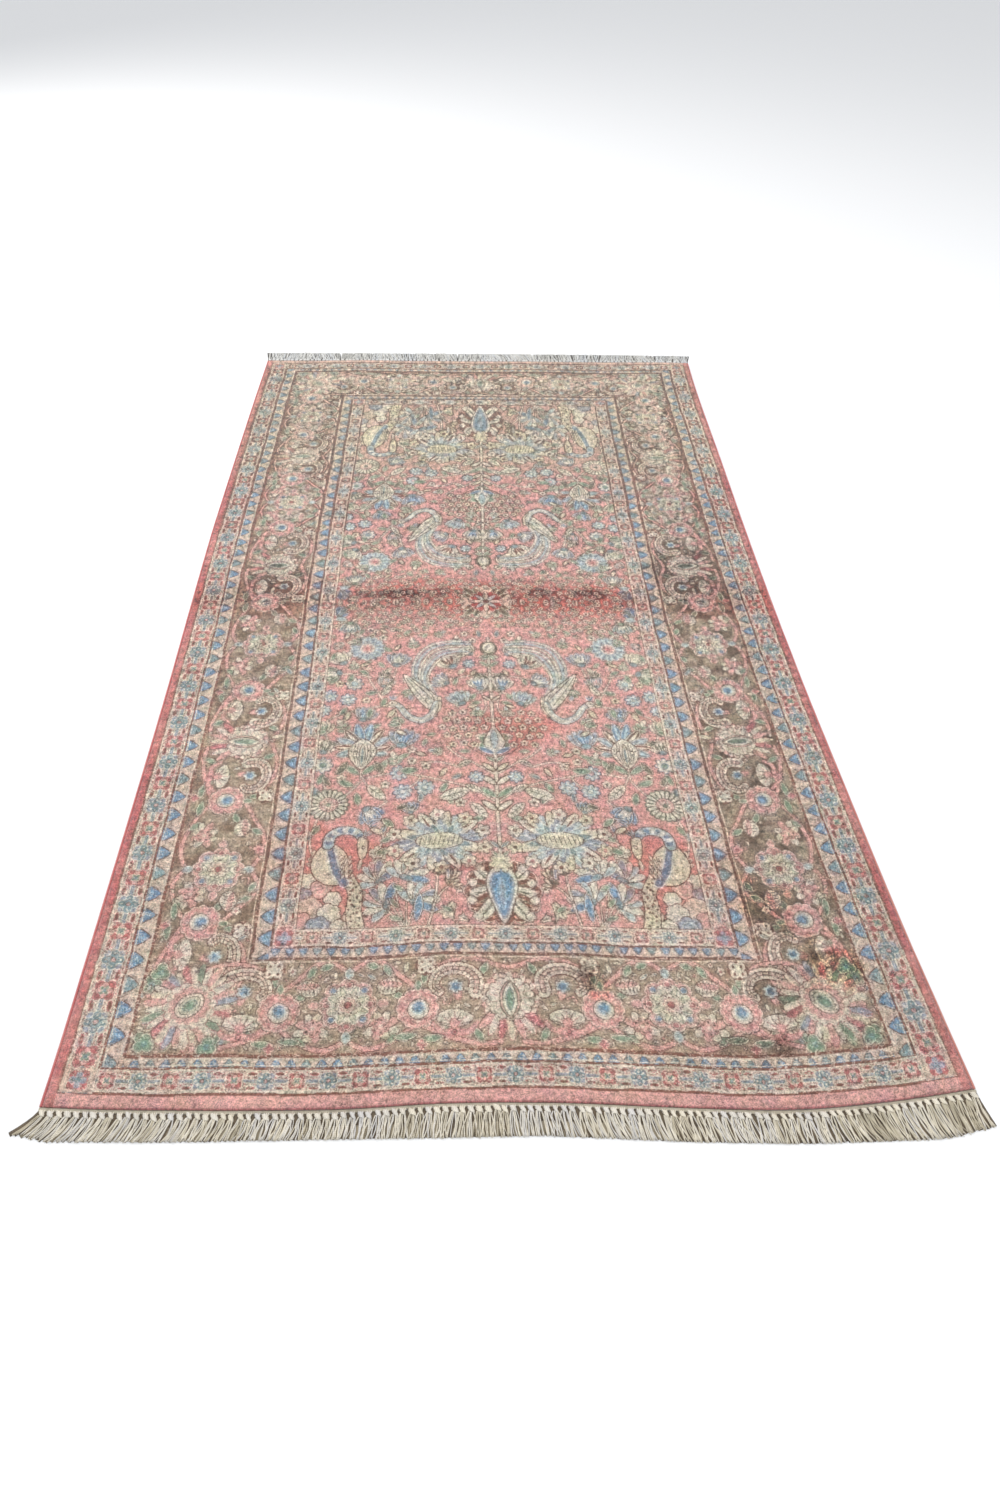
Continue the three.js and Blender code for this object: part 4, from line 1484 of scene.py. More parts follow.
def make_piece(name, points, faces, materials):
    mesh = bpy.data.meshes.new(name)
    mesh.from_pydata(np.asarray(points).tolist(), [], faces)
    mesh.polygons.foreach_set("use_smooth", [True] * len(mesh.polygons))
    for material in materials:
        mesh.materials.append(material)
    mesh.update()
    obj = bpy.data.objects.new(name, mesh)
    bpy.context.scene.collection.objects.link(obj)
    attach(obj, "root")
    return obj


def set_attribute(obj, name, values, domain="POINT"):
    """Stores one number or one vector for each vertex or face."""
    values = np.asarray(values, np.float32)
    kind = "FLOAT_VECTOR" if values.ndim == 2 else "FLOAT"
    data = obj.data.attributes.new(name, kind, domain).data
    data.foreach_set("vector" if values.ndim == 2 else "value", values.ravel())


def chart_blocks(chart):
    """The chart cut into blocks of knots, each with a rim of one knot of its neighbours.

    A block's six rows are six numbers, and a row's six yarns are that number's base 16 digits.
    """
    padded = np.pad(chart, 1, mode="edge").astype(np.int64)
    rows = np.zeros((BLOCKS_ALONG, BLOCKS_ACROSS, BLOCK + 2), np.int64)
    for row in range(BLOCK + 2):
        for column in range(BLOCK + 2):
            yarn = padded[row:, column:][:BLOCK * BLOCKS_ALONG:BLOCK, :BLOCK * BLOCKS_ACROSS:BLOCK]
            rows[:, :, row] += yarn * 16**column
    return rows.reshape(-1, BLOCK + 2)


def bled_dyes(chart):
    """The mean dye around each corner of the blocks, because the dyes have run into one another."""
    means = []
    for state in (0, 1):
        dyes = np.array([light(*dye[state])[:3] for dye in DYES.values()])
        blocks = dyes[chart].reshape(BLOCKS_ALONG, BLOCK, BLOCKS_ACROSS, BLOCK, 3).mean(axis=(1, 3))
        blocks = np.pad(blocks, ((1, 1), (1, 1), (0, 0)), mode="edge")
        corners = (blocks[:-1, :-1] + blocks[1:, :-1] + blocks[:-1, 1:] + blocks[1:, 1:]) / 4
        longer = np.pad(corners, ((1, 1), (0, 0), (0, 0)), mode="edge")
        longer = (longer[:-2] + longer[1:-1] + longer[2:]) / 3
        far = np.linspace(0, 1, BLOCKS_ALONG + 1)[:, None, None]
        means.append((corners * (1 - far) + longer * far).reshape(-1, 3))
    return means


def wobble(x, y, seed):
    """Smooth unevenness from -1 to 1 over a plane, in waves of 70 to 300 mm."""
    total = 0.0
    for number, (wave, share) in enumerate(((0.31, 0.36), (0.19, 0.3), (0.12, 0.22), (0.073, 0.12))):
        turn = 1.9 * number + seed
        along = x * np.cos(turn) + y * np.sin(turn)
        total = total + np.sin(along * 2 * np.pi / wave + 3.1 * seed + number) * share
    return total


def pile_grid():
    """The top of the pile with its unevenness, and the underside below it, as grids of points."""
    wide, long = BLOCKS_ACROSS + 1, BLOCKS_ALONG + 1
    grid = resample(cad_top("rug_body"), long)
    grid = resample(grid.swapaxes(0, 1), wide).swapaxes(0, 1)
    low = grid - np.array([0, 0, BODY_THICKNESS])
    low[..., 2] = np.maximum(low[..., 2], 0)
    column = np.arange(wide)[None, :]
    row = np.arange(long)[:, None]
    inset = np.minimum(np.minimum(column, wide - 1 - column), np.minimum(row, long - 1 - row))
    fade = np.clip(inset / 6, 0, 1)
    x, y = grid[..., 0].copy(), grid[..., 1].copy()
    grid[..., 0] += wobble(x, y, 1.0) * fade * 1.3 * MM
    grid[..., 1] += wobble(x, y, 4.0) * fade * 1.6 * MM
    grid[..., 2] += wobble(x * 1.7, y * 1.7, 7.0) * fade * 0.25 * MM
    grid[..., 2] -= np.choose(np.minimum(inset, 3), EDGE_DROPS) * MM
    return grid, low


def rim_blocks():
    """The block of knots beside each edge of the rim."""
    return np.concatenate([
        np.arange(BLOCKS_ACROSS),
        np.arange(1, BLOCKS_ALONG + 1) * BLOCKS_ACROSS - 1,
        np.arange(BLOCKS_ACROSS * BLOCKS_ALONG - 1, BLOCKS_ACROSS * (BLOCKS_ALONG - 1) - 1, -1),
        np.arange(BLOCKS_ALONG - 1, -1, -1) * BLOCKS_ACROSS,
    ])


def underside(number, below):
    """Coarse faces under the pile. below has the vertex under each vertex of the rim and corners."""
    faces = []
    for y0 in range(0, BLOCKS_ALONG, UNDER_STEP_Y):
        for x0 in range(0, BLOCKS_ACROSS, UNDER_STEP_X):
            y1, x1 = y0 + UNDER_STEP_Y, x0 + UNDER_STEP_X
            ring = [(y, x0) for y in range(y0, y1)] + [(y1, x) for x in range(x0, x1)]
            ring += [(y, x1) for y in range(y1, y0, -1)] + [(y0, x) for x in range(x1, x0, -1)]
            faces.append([below[number[y, x]] for y, x in ring if number[y, x] in below])
    return faces


def add_rug(chart, materials):
    """The pile: one face for each block of knots, with walls and a coarse underside."""
    grid, low = pile_grid()
    top, bottom = grid.reshape(-1, 3), low.reshape(-1, 3)
    number = np.arange(len(top)).reshape(grid.shape[:2])
    rim = rim_of(number)
    inner = number[UNDER_STEP_Y:-1:UNDER_STEP_Y, UNDER_STEP_X:-1:UNDER_STEP_X].ravel()
    halfway = (top[rim] + bottom[rim]) / 2
    points = np.concatenate([top, halfway, bottom[rim], bottom[inner]])
    halfway_rim = len(top) + np.arange(len(rim))
    bottom_rim = halfway_rim + len(rim)
    below = dict(zip(rim.tolist(), bottom_rim.tolist()))
    below.update(zip(inner.tolist(), range(len(points) - len(inner), len(points))))
    quads = cells(number)
    walls = np.concatenate([wall(rim, halfway_rim), wall(halfway_rim, bottom_rim)])
    under = underside(number, below)
    rug = make_piece("rug_pile", points, quads.tolist() + walls.tolist() + under, materials)
    # the vertex of the top and the block of knots that each vertex and each face belong to
    above = np.concatenate([number.ravel(), rim, rim, inner])
    whose = np.concatenate([np.arange(len(quads)), rim_blocks(), rim_blocks(), np.zeros(len(under), int)])
    near_colours, far_colours = bled_dyes(chart)
    place = spread(np.arange(BLOCKS_ACROSS + 1) * BLOCK, np.arange(BLOCKS_ALONG + 1)[:, None] * BLOCK, 0)
    start = spread(np.arange(BLOCKS_ACROSS) * BLOCK, np.arange(BLOCKS_ALONG)[:, None] * BLOCK, 0)
    rows = chart_blocks(chart)
    set_attribute(rug, "knot", place[above])
    set_attribute(rug, "bled_near", near_colours[above])
    set_attribute(rug, "bled_far", far_colours[above])
    set_attribute(rug, "block", start[whose], "FACE")
    set_attribute(rug, "rows_low", rows[whose, :3], "FACE")
    set_attribute(rug, "rows_high", rows[whose, 3:], "FACE")
    kinds = np.zeros(len(whose), np.int32)
    kinds[-len(under):] = 1
    rug.data.polygons.foreach_set("material_index", kinds)
    return rug, grid


class Tubes:
    """Many yarns gathered into one mesh. Each is a smooth tube through its own points."""

    def __init__(self):
        self.points = []
        self.faces = []
        self.ply = []
        self.tone = []
        self.count = 0

    def add(self, path, radius, sides, tone, flat=1.0):
        """path is rows of x, y, z. radius is a number or one for each row."""
        path = np.asarray(path, float)
        rows = len(path)
        radius = np.broadcast_to(np.asarray(radius, float), (rows,))
        along = np.gradient(path, axis=0)
        along /= np.maximum(np.linalg.norm(along, axis=1, keepdims=True), 1e-9)
        aside = np.cross(along, (0, 0, 1.0))
        aside /= np.maximum(np.linalg.norm(aside, axis=1, keepdims=True), 1e-9)
        up = np.cross(aside, along)
        angle = np.arange(sides) * 2 * np.pi / sides
        ring = (aside[:, None] * np.cos(angle)[None, :, None]
                + up[:, None] * np.sin(angle)[None, :, None] * flat)
        points = path[:, None] + ring * radius[:, None, None]
        number = self.count + np.arange(rows * sides).reshape(rows, sides)
        turned = np.roll(number, -1, axis=1)
        quads = np.stack([number[:-1], number[1:], turned[1:], turned[:-1]], -1).reshape(-1, 4)
        self.faces += quads.tolist() + [number[0].tolist(), number[-1][::-1].tolist()]
        length = np.concatenate([[0], np.cumsum(np.linalg.norm(np.diff(path, axis=0), axis=1))])
        self.points.append(points.reshape(-1, 3))
        self.ply.append(spread(length[:, None] / MM, np.cos(angle), np.sin(angle)))
        self.tone.append(np.full(rows * sides, tone))
        self.count += rows * sides

    def piece(self, name, material):
        obj = make_piece(name, np.concatenate(self.points), self.faces, [material])
        set_attribute(obj, "ply", np.concatenate(self.ply))
        set_attribute(obj, "tone", np.concatenate(self.tone))
        return obj


def add_selvedge(name, edge, outward, material):
    """A cord wrapped in yarn along one side of the pile. edge is the rim of the pile."""
    length = np.linalg.norm(np.diff(edge, axis=0), axis=1).sum()
    rings = int(length / (RING_STEP * MM))
    line = resample(edge[:, None], rings)[:, 0]
    line[:, 0] += outward * (GAP + CORD_WIDTH / 2)
    line[:, 2] = np.maximum(line[:, 2] - BODY_THICKNESS, 0) + 2.4 * MM
    run = np.arange(rings) * RING_STEP
    sides = 10
    angle = np.arange(sides) * 2 * np.pi / sides
    wrap = np.abs(np.sin(np.pi * run[:, None] / WRAP_PITCH + angle[None, :] / 2 * outward))
    swell = 0.86 + 0.14 * np.sqrt(wrap) + 0.02 * np.sin(run[:, None] / 9.0)
    across = np.cos(angle)[None, :] * swell * CORD_WIDTH / 2
    rise = np.sin(angle)[None, :] * swell * 2.3 * MM
    points = spread(line[:, None, 0] + across, line[:, None, 1], line[:, None, 2] + rise)
    number = np.arange(rings * sides).reshape(rings, sides)
    turned = np.roll(number, -1, axis=1)
    quads = np.stack([number[:-1], turned[:-1], turned[1:], number[1:]], -1).reshape(-1, 4)
    faces = quads.tolist() + [number[0][::-1].tolist(), number[-1].tolist()]
    obj = make_piece(name, points, faces, [material])
    set_attribute(obj, "ply", spread(run[:, None], np.cos(angle), np.sin(angle)))
    # tone holds painted shade: low in the grooves between the wraps
    set_attribute(obj, "tone", np.clip(wrap.ravel(), 0, 1))
    return obj


def add_heading(name, end, up, material):
    """The flat-woven strip at one end. end is the rim of the pile from left to right."""
    columns, rows = 900, 12
    x = np.linspace(end[0, 0] - GAP - CORD_WIDTH, end[-1, 0] + GAP + CORD_WIDTH, columns + 1)
    edge = np.interp(x, end[:, 0], end[:, 1])
    share = np.linspace(0, 1, rows + 1)
    sag = 0.5 * MM * np.sin(x * 61.0) + 0.35 * MM * np.sin(x * 143.0 + 1.0)
    y = edge[None, :] + up * (GAP + share[:, None] * (WEAVE_DEPTH - GAP + sag[None, :]))
    rib = np.abs(np.sin(np.pi * share * 6))[:, None]
    warp = np.abs(np.sin(x * np.pi / (2.7 * MM)))[None, :]
    top = (1.75 + 0.45 * rib + 0.22 * warp) * MM
    top = top * np.clip(0.55 + 4 * np.minimum(share, 1 - share), 0, 1)[:, None]
    upper = spread(x, y, top)
    lower = upper * np.array([1, 1, 0])
    number = np.arange(len(upper)).reshape(y.shape)
    quads, rim = cells(number), rim_of(number)
    if up < 0:
        quads, rim = quads[:, ::-1], rim[::-1]
    below = quads[:, ::-1] + len(upper)
    faces = np.concatenate([quads, below, wall(rim, rim + len(upper))]).tolist()
    obj = make_piece(name, np.concatenate([upper, lower]), faces, [material])
    weave = spread(x / MM, share[:, None] * WEAVE_DEPTH / MM, 0.0)
    set_attribute(obj, "weave", np.concatenate([weave, weave]))
    return obj


def add_knot(tubes, knot, up, fat, slant, tone):
    """The wraps of a knot: fat short loops that lie across the tassel."""
    wraps, steps = 4, 6
    thickness = np.array([0.5, 0.9, 1.15, 1.25, 1.15, 0.9, 0.5]) * MM
    for turn in range(wraps):
        q = (turn - 1.5) * WRAP_STEP * MM
        width = (fat - 0.55 * abs(turn - 1.5)) * MM
        loop = []
        for step in range(steps + 1):
            share = step / steps * 2 - 1
            loop.append((
                knot.x + share * width - 0.35 * up * q,
                knot.y + up * (q + share * slant * 3.0 * MM),
                knot.z + (1 - share * share) * 1.5 * MM - 0.5 * MM,
            ))
        # painted highlight: the wraps are a lighter shade than the strands
        tubes.add(loop, thickness, 7, max(tone + 0.1, 0.45), 0.9)


def add_warps(tubes, random, x, edge, knot, up, tone):
    """The warps between the heading and the knot."""
    for cord in (-1, 0, 1):
        p = cord * WARP_STEP * MM
        tubes.add([
            (x + p * 1.2, edge - up * 1.6 * MM, 1.2 * MM),
            (x + p, edge + up * 0.6 * MM, 1.7 * MM),
            (knot.x + p * 0.7, knot.y - up * 0.6 * MM, 2.1 * MM),
        ], 1.1 * MM, 6, max(tone + random.normal(0, 0.1), 0.2))


def add_shadows(tubes, x, edge, up, lean, length, tip_tone):
    """Packed dark strands at the bottom of the tassel: painted shadow between and under the strands."""
    for fan in (-1, 0, 1):
        path = []
        for share in np.linspace(0, 1, 5):
            drift = (lean + fan * 0.08) * length * share * (0.55 + 0.45 * share)
            out = 0.5 * MM + length * 0.96 * share
            path.append((x + fan * 4.0 * MM + drift, edge + up * out, 0.45 * MM))
        tubes.add(path[:3], np.array([2.2, 2.4, 2.9]) * MM, 6, 0.0, 0.14)
        tubes.add(path[2:], np.array([2.9, 3.2, 3.3]) * MM, 6, tip_tone, 0.14)


def add_strands(tubes, random, count, knot, edge, up, lean, length, tone):
    """Loose strands from the knot, cut to one line. They lie in two layers."""
    for strand in range(count):
        fan = (strand + 0.5) / count * 2 - 1 + random.normal(0, 0.12)
        layer = (strand * 3) % 2
        rest = (1.2 + 0.8 * layer) * MM
        start = Vector((knot.x + fan * 3.6 * MM, knot.y + up * 2.2 * MM, (1.7 + 0.9 * layer) * MM))
        own = lean + fan * 0.1 + random.normal(0, 0.08)
        cut = length * (1 + random.normal(0, 0.014)) - abs(start.y - edge)
        curl = random.normal(0, 1.0, 2) * np.array([1.1, 0.5]) * MM
        share = np.linspace(0, 1, 9)
        drift = own * cut * share * (0.5 + 0.5 * share)
        wave = curl[0] * np.sin(np.pi * share) + curl[1] * np.sin(2.4 * np.pi * share)
        x = start.x + fan * 2.4 * MM * share**0.5 + drift + wave
        path = spread(x, start.y + up * cut * share, rest + (start.z - rest) * (1 - share) ** 2)
        thin = strand % 4 == 3
        radius = np.full(len(share), (THIN_RADIUS if thin else STRAND_RADIUS) * MM)
        radius[-1] *= 0.8
        tubes.add(path, radius, 5, np.clip(tone + random.normal(0, 0.2), 0.12, 1.0))


def add_tassels(name, end, up, tips, leans, strands, material):
    """Knotted tassels along one end: a knot, then loose strands cut to one line."""
    random = np.random.default_rng(7 if up < 0 else 11)
    tubes = Tubes()
    left = end[0, 0] - GAP - CORD_WIDTH
    right = end[-1, 0] + GAP + CORD_WIDTH
    pitch = (right - left) / TASSELS
    cut_line = cad_low.y if up < 0 else cad_high.y
    longest = max(row[1] for row in tips)
    sway = 0.0
    for number in range(TASSELS):
        at = (number + 0.5) / TASSELS * 2 - 1
        x = left + (number + 0.5) * pitch
        edge = np.interp(x, end[:, 0], end[:, 1]) + up * WEAVE_DEPTH
        tip = cut_line - up * (longest - read(tips, at)) * MM
        sway = 0.6 * sway + random.normal(0, 0.05 if up < 0 else 0.14)
        lean = read(leans, at) + sway
        length = abs(tip - edge)
        tone = 0.58 + 0.2 * np.sin(at * 9.0 + 1.3) * np.sin(at * 23.0) + random.normal(0, 0.1)
        if up < 0:
            tone -= 0.3 * np.clip((at - 0.2) / 0.8, 0, 1)
        knot_x = x + random.normal(0, 0.6) * MM
        knot = Vector((knot_x, edge + up * (KNOT_OUT + random.normal(0, 0.7)) * MM, KNOT_HEIGHT * MM))
        slant = 0.45 + random.normal(0, 0.2)
        fat = 4.5 + random.normal(0, 0.5)
        add_knot(tubes, knot, up, fat, slant, tone)
        add_warps(tubes, random, x, edge, knot, up, tone)
        # painted shadow under the strands, at its darkest towards the right
        add_shadows(tubes, x, edge, up, lean, length, 0.03 if number % 3 and at < 0.3 else 0.0)
        add_strands(tubes, random, strands, knot, edge, up, lean, length, tone)
    return tubes.piece(name, material)


# ---- Materials ----------------------------------------------------------------------------------

FULL_TURN = 6.2832

# The crease across the rug, where the pile's shader paints shade on the fold: its middle along the rug and
# its half width, in mm.
CREASE_Y = -26.0
CREASE_HALF = 36.0
# Where the plain band at each side and at the near end turns into the flowered part, and where the
# outer guards begin, in mm from the middle of the rug.
SIDE_BAND = (PILE_WIDTH / 2 - 12.0, PILE_WIDTH / 2 - 14.0)
END_BAND = (18.0 - PILE_LENGTH / 2, 20.0 - PILE_LENGTH / 2)
OUTER_X = (514.0, 520.0)
OUTER_Y = (990.0, 996.0)
# Where along the rug the dyes start to turn to the far end's paler colours, and where they have turned, in
# mm.
PALE_START = 395.0
PALE_END = 520.0
# Where the ground and the lines of the design are darkest, as x and y of the middle, width and
# depth, all in mm, and strength. The first six lie along the crease and are painted shade on the
# fold; the others are dark patches.
DARK_PLACES = (
    (-180, -12, 75, 18, 1.25), (-95, -4, 26, 14, 0.8), (112, -8, 60, 15, 1.1), (212, -8, 60, 18, 1.15),
    (-440, 30, 95, 80, 0.8), (442, 60, 95, 110, 0.9), (395, -900, 70, 50, 0.7), (330, -985, 60, 26, 0.5),
    (-400, -870, 60, 34, 0.4), (-330, 300, 60, 40, 0.3), (410, -720, 60, 130, 0.35),
    (420, -420, 70, 120, 0.3),
)
# Where the red of the ground is strongest: x, y, width and depth. The third, along the crease, is painted
# shade on the fold's flank.
RED_PLACES = ((-270, -690, 130, 110), (270, -700, 110, 90), (0, -20, 330, 60), (40, -400, 90, 60))
PALE_DYES = ("cream", "sky", "pink", "straw", "peach")
# Where the colours are most saturated: middle, size and strength.
VIVID_PLACES = (((478, -870), (44, 50), 0.75), ((400, -760), (60, 50), 0.4), ((124, -898), (22, 26), 0.4))
# Old spills: middle, size and colour.
STAINS = (
    ((112, -885), (12, 26), (118, 74, 62)), ((366, -985), (16, 18), (128, 84, 62)),
    ((468, -850), (34, 12), (110, 78, 62)), ((-60, -700), (60, 8), (200, 160, 150)),
)


def yarn_number(s, knot):
    """The yarn of the knot at each place, read from the chart that the faces hold."""
    fray = s.vector("SUBTRACT", s.noise(knot, 1.9, 1.0).outputs["Color"], (0.5, 0.5, 0.5))
    inside = s.vector("ADD", s.vector("SUBTRACT", knot, s.attribute("block")), (1.0, 1.0, 0.0))
    x, y, _ = s.split(s.vector("ADD", inside, s.vector("MULTIPLY", fray, (2.6, 2.6, 0.0))))
    rows = s.split(s.attribute("rows_low")) + s.split(s.attribute("rows_high"))
    row = rows[0]
    base = 1.0
    for number in range(1, BLOCK + 2):
        row = s.pick(s.math("GREATER_THAN", y, float(number)), row, rows[number])
        base = s.pick(s.math("GREATER_THAN", x, float(number)), base, float(16**number))
    return s.math("MODULO", s.math("FLOOR", s.math("DIVIDE", row, base)), 16.0)


class Pile:
    """What the steps of the pile's shader share. Places are in mm from the middle of the rug."""

    def __init__(self, s):
        self.s = s
        self.knot = s.attribute("knot")
        self.across, self.along, _ = s.split(self.knot)
        self.x = s.math("MULTIPLY_ADD", self.across, KNOT_X, -PILE_WIDTH / 2)
        self.y = s.math("MULTIPLY_ADD", self.along, KNOT_Y, -PILE_LENGTH / 2)
        self.place = s.join(self.x, self.y)
        # marks run longer towards the far end, where the pile is flattest
        long_y = s.times(self.y, s.math("MULTIPLY_ADD", self.y, -0.00022, 0.85))
        self.long_place = s.join(self.x, long_y)
        self.yarn = yarn_number(s, self.knot)
        self.share = s.math("DIVIDE", s.add(self.yarn, 0.5), 16.0)
        self.broad = s.grain(self.place, 0.006, 3.0)
        self.cloud = s.grain(self.place, 0.02, 4.0, 0.6)
        self.streaks = self.stretched(0.006, 0.11, 3.0, 0.6)
        self.tufts = s.noise(self.long_place, 0.12, 6.0, 0.95)
        self.tuft = self.tufts.outputs["Fac"]
        self.fibre = s.grain(self.knot, 3.4, 2.0, 0.7)
        whole_knot = {"Vector": s.vector("FLOOR", self.knot)}
        self.own = s.node("ShaderNodeTexWhiteNoise", whole_knot, noise_dimensions="2D").outputs["Value"]
        self.rough_edge = s.times(s.minus(self.cloud, 0.5), 1.6)
        self.ragged_edge = s.times(self.rough_edge, 1.8)
        self.ragged_y = s.math("MULTIPLY_ADD", self.rough_edge, 45.0, self.y)
        self.crease = s.math("ABSOLUTE", s.math("DIVIDE", s.add(self.ragged_y, -CREASE_Y), CREASE_HALF))

    def stretched(self, scale_x, scale_y, detail, rough):
        """Noise drawn out along the rows of knots."""
        place = self.s.join(self.s.times(self.x, scale_x), self.s.times(self.y, scale_y))
        return self.s.grain(place, 1.0, detail, rough)

    def palette(self, colours):
        """One colour for each yarn."""
        stops = [(number / 16, colour) for number, colour in enumerate(colours)]
        return self.s.ramp(self.share, stops, True)

    def spot(self, centre, size, edge):
        """A soft patch, from 1 in its middle to 0 at its edge."""
        s = self.s
        off = s.join(s.math("DIVIDE", s.minus(self.x, centre[0]), size[0]),
                     s.math("DIVIDE", s.minus(self.y, centre[1]), size[1]))
        far = s.node("ShaderNodeVectorMath", {0: off}, operation="LENGTH").outputs["Value"]
        return s.span(s.add(far, edge), 1.15, 0.45, smooth=True)


def tracery(s, place, colour, strength):
    """Fine curling lines of cream, brown and pink yarn that run over the whole design."""
    fields = s.split(s.noise(place, 0.075, 1.5, 0.6).outputs["Color"])
    kinds = ((0.11, 0.75, (222, 212, 194)), (0.08, 0.6, (120, 88, 72)), (0.08, 0.55, (212, 182, 166)))
    for field, (thick, amount, shade) in zip(fields, kinds):
        off = s.math("ABSOLUTE", s.minus(s.math("FRACT", s.times(field, 4.0)), 0.5))
        line = s.times(s.span(off, thick, thick * 0.5, 0.0, amount), strength)
        colour = s.mix(line, colour, light(*shade))
    return colour


def dyed(pile):
    """The dyes of the yarns: paler at the far end, with fine lines over them, and run together."""
    s = pile.s
    near_colours, far_colours = (pile.palette([light(*dye[state]) for dye in DYES.values()]) for state in (0, 1))
    # how far each place has turned to the far end's paler colours
    fade = s.span(pile.ragged_y, PALE_START, PALE_END, 0.0, 0.92, smooth=True)
    colour = s.mix(fade, near_colours, far_colours)
    from_middle = s.math("ABSOLUTE", pile.x)
    # 1 on the flowered part of the rug and 0 on its plain band
    inside = s.span(from_middle, *SIDE_BAND)
    inside_end = s.span(pile.y, *END_BAND)
    lines = s.times(inside, s.times(inside_end, s.span(pile.y, -900.0, 500.0, 0.9, 0.35)))
    colour = tracery(s, pile.long_place, colour, lines)
    bled = s.mix(fade, s.attribute("bled_near"), s.attribute("bled_far"))
    bled = s.dim(bled, s.math("DIVIDE", s.grey(colour), s.grey(bled)))
    guard_x = s.span(from_middle, *OUTER_X)
    guard_y = s.span(s.math("ABSOLUTE", pile.y), *OUTER_Y)
    colour = s.mix(s.span(s.math("MAXIMUM", guard_x, guard_y), 0.0, 1.0, 0.6, 0.36), colour, bled)
    worn = s.add(pile.broad, s.times(s.minus(pile.streaks, 0.5), 0.5))
    worn = s.times(s.minus(1.0, inside), s.span(worn, 0.42, 0.62, 0.05, 0.75))
    return s.mix(worn, colour, light(214, 142, 134))


def knot_tones(pile):
    """How light each place is: dye lots in bands of rows, painted shade of the nap in broad soft patches,
    and each knot's own tone.
    """
    s, y = pile.s, pile.y
    # Dye lots in bands of rows, then painted shade of the nap: broad, soft patches lighter and darker.
    tone = s.add(s.span(pile.streaks, 0.3, 0.7, -0.07, 0.07), s.span(pile.broad, 0.35, 0.65, -0.06, 0.06))
    tone = s.add(tone, s.span(pile.cloud, 0.3, 0.7, -0.08, 0.08))
    speckle = s.times(s.minus(pile.tuft, 0.51), s.span(y, -1000.0, 1000.0, 2.6, 4.0))
    tone = s.add(tone, s.clamp(speckle, -0.55, 0.34))
    tone = s.add(tone, s.span(pile.own, 0.0, 1.0, -0.32, 0.24))
    tone = s.add(tone, s.span(pile.fibre, 0.3, 0.7, -0.12, 0.10))
    fan_x = s.times(pile.x, s.math("MULTIPLY_ADD", y, -0.0003, 1.0))
    fan_y = s.times(y, s.math("MULTIPLY_ADD", y, -0.00019, 0.6))
    marks = s.minus(s.grain(s.join(fan_x, fan_y), 0.13, 2.0, 0.7), 0.5)
    marks = s.times(marks, s.span(y, -950.0, -100.0, 1.2, 2.0))
    marks = s.times(marks, s.span(pile.crease, 1.6, 0.6, 1.0, 1.6))
    tone = s.add(tone, s.clamp(marks, -0.5, 0.24))
    # painted light and shade of fine ridges across the rows
    tone = s.add(tone, s.span(pile.stretched(0.016, 0.09, 2.0, 0.7), 0.3, 0.7, -0.09, 0.09))
    tone = s.add(tone, s.span(y, -300.0, 300.0, 1.0, 0.94))
    for side, depth in ((1, 0.12), (-1, 0.04)):
        reach_x = s.span(pile.x, side * 320.0, side * 480.0)
        reach_y = s.span(y, side * 500.0, side * 300.0, 0.0, depth)
        tone = s.minus(tone, s.times(reach_x, reach_y))
    return tone


def mottled(pile, colour):
    """The tones of the knots, and small changes of hue within each yarn."""
    s = pile.s
    half = (0.5, 0.5, 0.5)
    fine = s.vector("SUBTRACT", pile.tufts.outputs["Color"], half)
    patchy = s.vector("SUBTRACT", s.noise(pile.place, 0.035, 3.0, 0.6).outputs["Color"], half)
    fine = s.vector("MULTIPLY", fine, (0.2, 0.16, 0.24))
    patchy = s.vector("MULTIPLY", patchy, (0.2, 0.2, 0.26))
    tone = knot_tones(pile)
    colour = s.mix(s.span(pile.tuft, 0.36, 0.6, 0.22, 0.08), colour, light(186, 168, 152))
    hue = s.vector("ADD", s.vector("ADD", fine, patchy), s.join(tone, tone, tone))
    return s.mix(1.0, colour, hue, "MULTIPLY")


